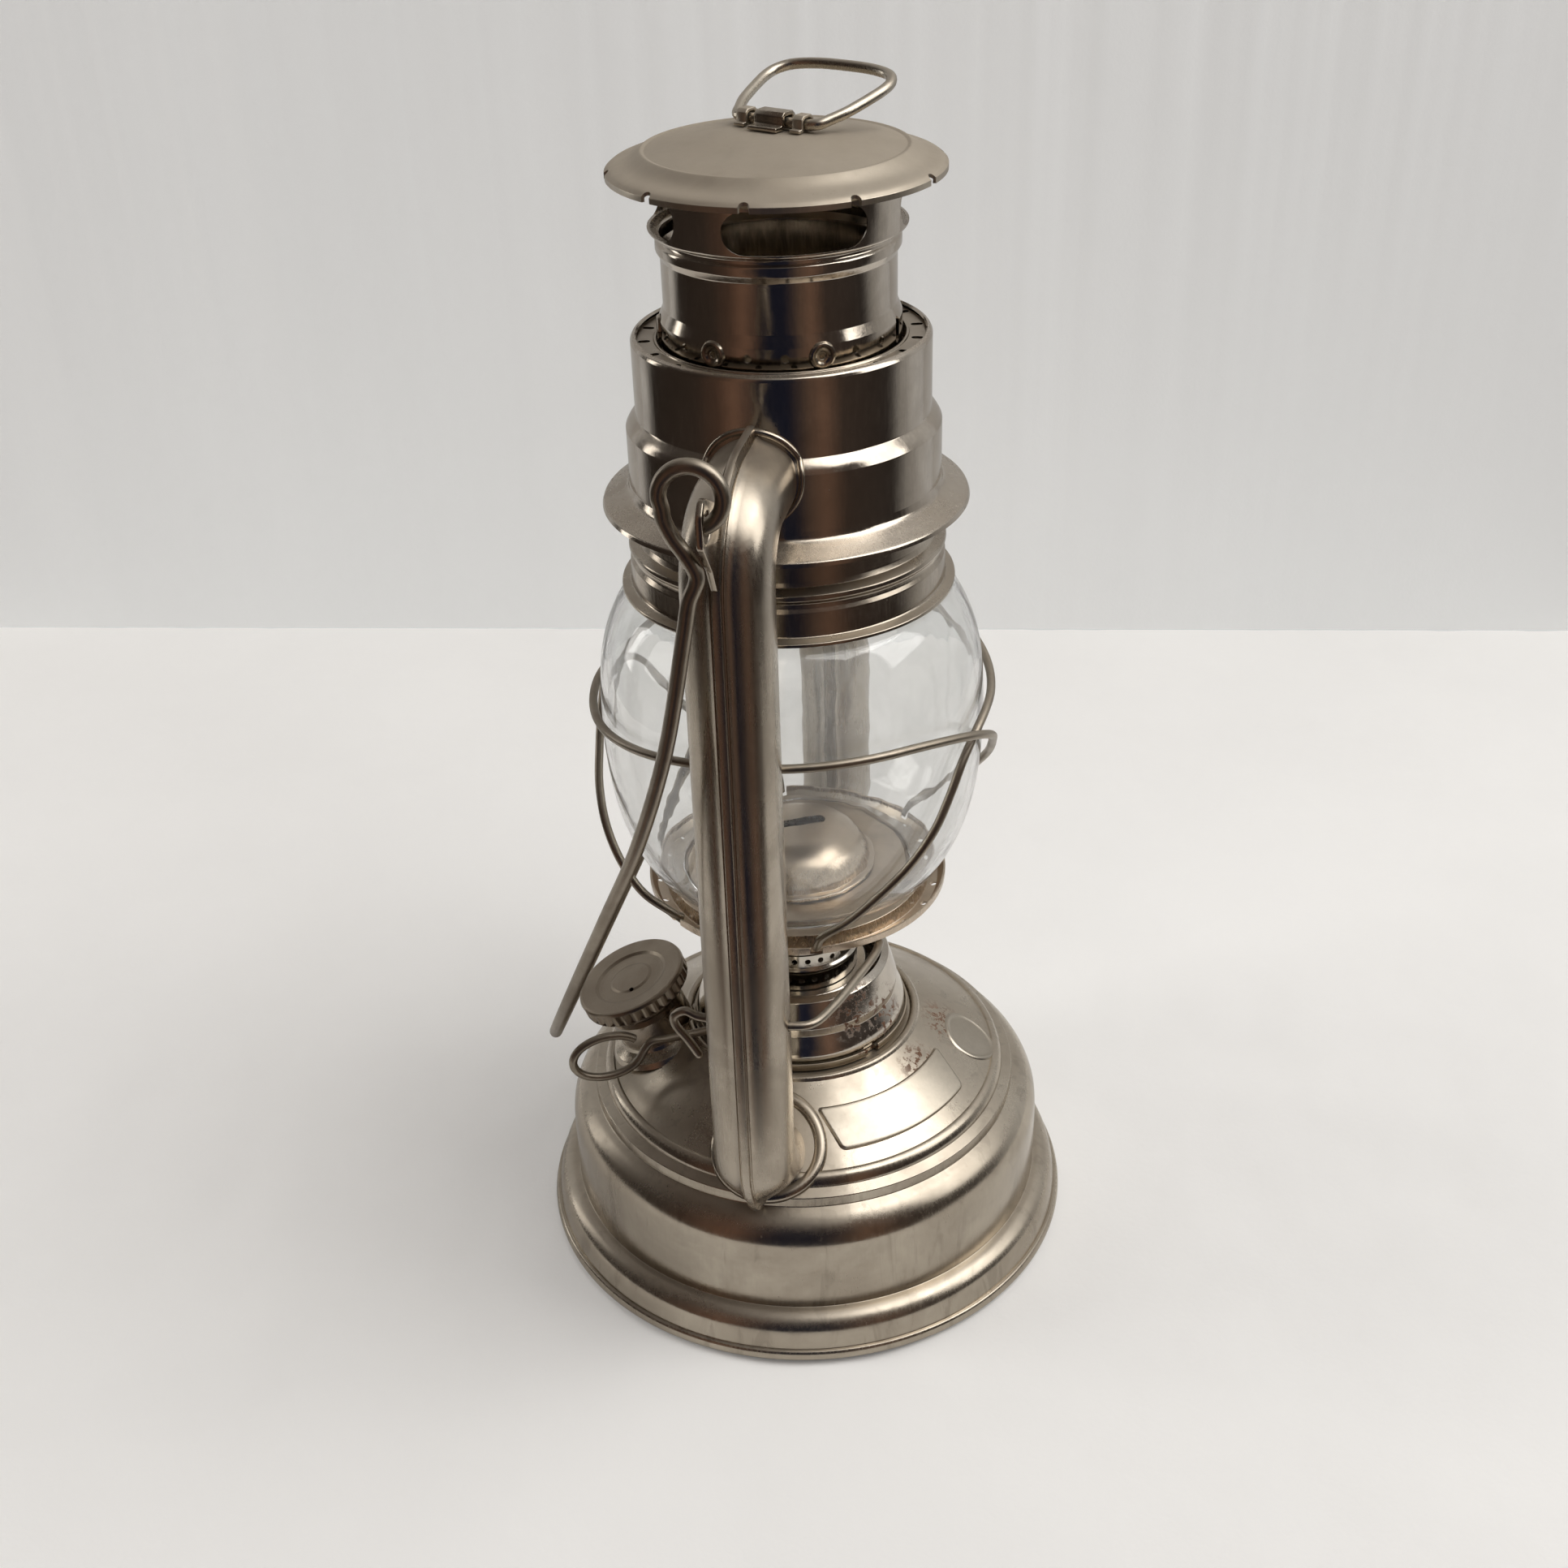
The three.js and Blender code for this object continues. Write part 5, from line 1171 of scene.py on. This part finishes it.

# Spring, in two halves

SPRING_LOW, SPRING_HIGH, SPRING_R = 206.25, 231.55, 28.6
SPRING_MID = between(SPRING_LOW, SPRING_HIGH, 0.5)
SPRING_WIRE, SPRING_STEPS, COIL_STEPS = 1.1, 120, 24
HALF_WAY = SPRING_STEPS // 2
for name, first, low, high, lower_body, upper_body in (
    ("hood_spring_low", 0, SPRING_LOW, SPRING_MID, "chimney_unit", "globe_unit"),
    ("hood_spring_high", HALF_WAY, SPRING_MID, SPRING_HIGH, "globe_unit", "frame"),
):
    spring_path = []
    for i in range(first, first + HALF_WAY + 1):
        z = between(SPRING_LOW, SPRING_HIGH, i / SPRING_STEPS)
        spring_path.append(polar(SPRING_R, 2 * math.pi * i / COIL_STEPS, z))
    spring = to_object(name, wire(spring_path, SPRING_WIRE, 10, 2), 50)
    spring.data.materials.append(WIRE)
    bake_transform(spring)
    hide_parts("chimney_spring")

# Lift lever

LEVER_WIRE, ARM_START, ARM_SPREAD, ARM_REACH = 2, 13.2, 24.0, 34.5
HANDLE_LONG, HANDLE_TALL = 8.4, 12
lever_path = [(ARM_SPREAD, -TUBE_D + ARM_REACH, LEVER_Z)]
for a, b in ((0.97, 0.14), (0.7, 0.46), (0.4, 0.76), (0.1, 0.95)):
    lever_path.append((between(ARM_START, ARM_SPREAD, a), -TUBE_D + ARM_REACH * (1 - b), LEVER_Z))
lever_path += [(ARM_START - 2.2, -TUBE_D + 0.2, LEVER_Z), (-HALF_W - 2, -TUBE_D, LEVER_Z)]
for o, d in ((0.62, -0.1), (0.92, 0.05), (0.9, 0.24), (0.6, 0.55), (0.26, 0.95)):
    lever_path.append((-HALF_W - HANDLE_LONG * o, -TUBE_D, LEVER_Z - HANDLE_TALL * d))
wire_piece("lift_handle", lever_path, LEVER_WIRE, "lever", ["lift_lever"], sides=14)

# Bail

BAIL_WIRE, BAIL_LONG, HOOK, HOOK_TURN = 3.1, 186, 6, math.radians(339)
UPPER, LOWER = math.radians(11), math.radians(24.3)
hinge_x = HOOK * math.sin(HOOK_TURN)
hinge_z = EYE_Z + HOOK * math.cos(HOOK_TURN)


def bail_fall(length, steps=90):
    """How far to the left and how far down the bail has come after a length."""
    x, z = -2.6, 0.0
    step = length / steps
    for i in range(steps):
        angle = between(UPPER, LOWER, ease(step * (i + 0.5), 36, 96))
        x += step * math.sin(angle)
        z += step * math.cos(angle)
    return x, z


def bail_side(sign):
    """One half of the bail, from the end of its hook towards the middle of the grip."""
    pts = []
    for i in range(15):
        t = math.radians(between(352, 68, i / 14))
        pts.append((-HOOK * math.sin(t), -HOOK * math.cos(t), EYE_OUT))
    for x, z in ((-0.88, -0.78), (-0.62, -1.36), (-0.24, -1.93), (0.06, -2.6)):
        pts.append((x * HOOK, z * HOOK, EYE_OUT))
    x, z = bail_fall(21)
    pts.append((-x, -z, EYE_OUT))
    for i in range(9):
        a = math.pi * i / 18
        x, z = bail_fall(between(28, BAIL_LONG, math.sin(a)))
        pts.append((-x, -z, EYE_OUT * math.cos(a)))
    return [(hinge_x + x, sign * y, hinge_z + z) for x, z, y in pts]


grip_x, grip_z = bail_fall(BAIL_LONG)
bail_path = bail_side(-1) + [(hinge_x - grip_x, 0, hinge_z - grip_z)] + bail_side(1)[::-1]
wire_piece("wire_bail", bail_path, BAIL_WIRE, "bail", ["bail"], sides=18)

gasket_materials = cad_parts["filler_gasket"].data.materials
gasket_materials.clear()
gasket_materials.append(CORK)

# Stage


def seen_directly(tree):
    """One for rays from the camera and through the glass, and zero for the others."""
    path = node(tree, "ShaderNodeLightPath")
    return maths(tree, "MAXIMUM", path.outputs["Is Camera Ray"], path.outputs["Is Transmission Ray"])


def stage_material(name, colour, fold, glow, open_behind=False):
    """Pale cloth, clear to the camera from behind where asked."""
    m, tree, shader, outputs = new_material(name)
    coords = outputs["Object"]
    shader.inputs["Roughness"].default_value = 0.9
    shader.inputs["Specular IOR Level"].default_value = 0.1
    cloud = noise_of(tree, coords, 3.0, 4, 0.6)
    weave = noise_of(tree, coords, 700, 3, 0.6)
    streak = noise_of(tree, scaled(tree, coords, fold), 9, 4, 0.6)
    tone = mix(tree, rise(tree, cloud, 0.35, 0.7), colour, shade(colour, 0.965))
    tone = mix(tree, rise(tree, streak, 0.4, 0.7, 0.5), tone, shade(colour, 0.93))
    tree.links.new(tone, shader.inputs["Base Color"])
    viewed = seen_directly(tree)
    tree.links.new(times(tree, viewed, glow), shader.inputs["Emission Strength"])
    tree.links.new(tone, shader.inputs["Emission Color"])
    normal = bump(tree, streak, 0.002)
    normal = bump(tree, weave, 0.00012, 0.6, normal)
    tree.links.new(normal, shader.inputs["Normal"])
    if open_behind:
        behind = node(tree, "ShaderNodeNewGeometry").outputs["Backfacing"]
        choice = node(tree, "ShaderNodeMixShader")
        tree.links.new(times(tree, viewed, behind), choice.inputs["Fac"])
        tree.links.new(shader.outputs[0], choice.inputs[1])
        tree.links.new(node(tree, "ShaderNodeBsdfTransparent").outputs[0], choice.inputs[2])
        tree.links.new(choice.outputs[0], tree.nodes["Material Output"].inputs["Surface"])
    return m


def cloth_mesh(name, corner, along, across, columns, rows, lift, material):
    """A cloth sheet from a corner along two edges, raised by lift(u, v) along its normal."""
    bm = bmesh.new()
    facing = along.cross(across).normalized()
    grid = []
    for i in range(columns + 1):
        u = i / columns
        row = []
        for k in range(rows + 1):
            v = k / rows
            row.append(bm.verts.new(corner + along * u + across * v + facing * lift(u, v)))
        grid.append(row)
    for i in range(columns):
        for k in range(rows):
            bm.faces.new((grid[i][k], grid[i + 1][k], grid[i + 1][k + 1], grid[i][k + 1]))
    o = to_object(name, bm, 80)
    if o.data.polygons[0].normal.dot(facing) < 0:
        o.data.flip_normals()
    o.data.materials.append(material)
    return o


# Camera

FOCAL_PX, HALF_PX, SENSOR = 2349.0, 966.0, 36.0
PHOTO_PX = 1932
EYE = Vector((81.0, -381.2, 358.0)) * MM
PITCH, YAW, ROLL, SWING = math.radians(31.10), math.radians(-0.38), math.radians(1.94), math.radians(12)
forward = Vector((math.sin(YAW) * math.cos(PITCH), math.cos(YAW) * math.cos(PITCH), -math.sin(PITCH)))
right = Vector((math.cos(YAW), -math.sin(YAW), 0))
down = forward.cross(right)
rolled_right = right * math.cos(ROLL) + down * math.sin(ROLL)
rolled_down = down * math.cos(ROLL) - right * math.sin(ROLL)
swing = Matrix.Rotation(SWING, 3, "Z")
right, down, forward = swing @ rolled_right, swing @ rolled_down, swing @ forward
camera = bpy.data.cameras.new("camera")
camera.lens = FOCAL_PX / (2 * HALF_PX) * SENSOR
camera.sensor_width = SENSOR
camera.sensor_fit = "AUTO"
camera.clip_start = 0.01
camera.clip_end = 50
eye_object = bpy.data.objects.new("camera", camera)
eye_object.matrix_world = Matrix((
    (right.x, -down.x, -forward.x, EYE.x),
    (right.y, -down.y, -forward.y, EYE.y),
    (right.z, -down.z, -forward.z, EYE.z),
    (0, 0, 0, 1),
))
bpy.context.scene.collection.objects.link(eye_object)
bpy.context.scene.camera = eye_object

# Floor and wall, whose join crosses the photo at two pixel rows


def floor_point(x, y):
    """The place on the ground that a pixel of the photo shows."""
    ray = right * ((x - HALF_PX) / FOCAL_PX) + down * ((y - HALF_PX) / FOCAL_PX) + forward
    return EYE - ray * (EYE.z / ray.z)


def wall_lift(u, v):
    fold = noise.noise(Vector((u * 46, 0.3 * v, 0))) + 0.5 * noise.noise(Vector((u * 120, 0.5 * v, 4)))
    return 0.0018 * fold * ease(v, 0.0, 0.3)


def floor_lift(u, v):
    return -0.0004 + 0.0009 * min(noise.noise(Vector((u * 40, v * 14, 2))), 0)


JOIN_LEFT_PX, JOIN_RIGHT_PX = 772, 776
left_foot, right_foot = floor_point(0, JOIN_LEFT_PX), floor_point(PHOTO_PX, JOIN_RIGHT_PX)
side_dir = (right_foot - left_foot).normalized()
back_dir = Vector((-side_dir.y, side_dir.x, 0))
wall_mid = (left_foot + right_foot) / 2
cloth = stage_material("floor_cloth", (0.83, 0.825, 0.81), (1, 1, 1), 0.16)
curtain = stage_material("wall_cloth", (0.77, 0.78, 0.775), (1.4, 1.4, 0.06), 0.27, True)
nearest = min(back_dir.dot(floor_point(x, PHOTO_PX)) for x in (0, PHOTO_PX)) - 0.012
depth = back_dir.dot(wall_mid) - nearest
wide, tall = side_dir * (right_foot - left_foot).length * 1.1, Vector((0, 0, 0.7))
near_corner = wall_mid - wide / 2 - back_dir * depth
cloth_mesh("floor", near_corner, wide, back_dir * depth, 120, 60, floor_lift, cloth)
cloth_mesh("wall", wall_mid - wide / 2, wide, tall, 360, 12, wall_lift, curtain)

# Lamps, placed in metres to the right, to the back and up

LAMP_TARGET = Vector((0, 0, 0.14))


def lamp(name, across, back, up, size, power, colour):
    data = bpy.data.lights.new(name, "AREA")
    data.shape = "RECTANGLE"
    data.size, data.size_y = size
    data.energy = power
    data.color = colour
    o = bpy.data.objects.new(name, data)
    place = side_dir * across + back_dir * back + Vector((0, 0, up))
    o.location = place
    o.rotation_euler = (LAMP_TARGET - place).to_track_quat("-Z", "Y").to_euler()
    bpy.context.scene.collection.objects.link(o)
    return o


lamp("window_right", 1.0, -0.1, 0.9, (0.7, 0.8), 5.0, (1.0, 0.99, 0.97))
fill = lamp("window_left", -1.05, -0.1, 0.6, (0.4, 0.9), 4.4, (1.0, 0.98, 0.95))
fill.visible_glossy = False
lamp("slit_left", -0.8, 0.25, 0.32, (0.12, 0.5), 0.5, (1.0, 0.98, 0.95))
lamp("top_soft", 0.52, -0.12, 1.15, (1.0, 0.6), 5.9, (1.0, 0.98, 0.96))

# Room that the metal mirrors

world = bpy.data.worlds.new("room")
bpy.context.scene.world = world
world.use_nodes = True
wt = world.node_tree
wt.nodes.clear()
out = node(wt, "ShaderNodeOutputWorld")
back = node(wt, "ShaderNodeBackground")
wt.links.new(back.outputs[0], out.inputs[0])
ray_direction = node(wt, "ShaderNodeTexCoord").outputs["Generated"]


def toward(direction):
    n = node(wt, "ShaderNodeVectorMath", operation="DOT_PRODUCT")
    n.inputs[1].default_value = tuple(direction.normalized())
    wt.links.new(ray_direction, n.inputs[0])
    return n.outputs["Value"]


LIGHT_WALL, SHADOW, SEEN_ROOM = (0.55, 0.545, 0.54), (0.014, 0.016, 0.03), (0.72, 0.72, 0.71)
front_value, side_value, height_value = toward(-back_dir), toward(side_dir), toward(Vector((0, 0, 1)))
bearing = maths(wt, "ARCTAN2", side_value, front_value)
bearing = plus(wt, times(wt, bearing, 0.5 / math.pi), 0.5)
wobble = times(wt, maths(wt, "SUBTRACT", noise_of(wt, ray_direction, 3.5, 3, 0.5), 0.5), 0.06)
room = ramp(
    wt, plus(wt, bearing, wobble),
    (0.15, LIGHT_WALL), (0.18, (0.03, 0.024, 0.02)), (0.33, (0.045, 0.034, 0.028)),
    (0.37, (0.09, 0.055, 0.04)), (0.417, (0.2, 0.115, 0.08)), (0.452, (0.05, 0.038, 0.036)),
    (0.468, SHADOW), (0.532, SHADOW), (0.556, (0.1, 0.07, 0.055)), (0.59, (0.2, 0.12, 0.085)),
    (0.63, (0.06, 0.045, 0.038)), (0.76, (0.04, 0.034, 0.031)), (0.79, (0.38, 0.37, 0.36)),
    (0.83, LIGHT_WALL),
)
across_room = plus(wt, times(wt, side_value, 0.5), 0.5)
ceiling = ramp(wt, across_room, (0.34, (0.07, 0.046, 0.034)), (0.52, (0.4, 0.39, 0.38)))
sky = mix(wt, rise(wt, height_value, 0.66, 0.85), room, ceiling)
sky = mix(wt, seen_directly(wt), sky, SEEN_ROOM)
wt.links.new(sky, back.inputs["Color"])
back.inputs["Strength"].default_value = 0.92
bpy.context.scene.view_settings.view_transform = "Standard"
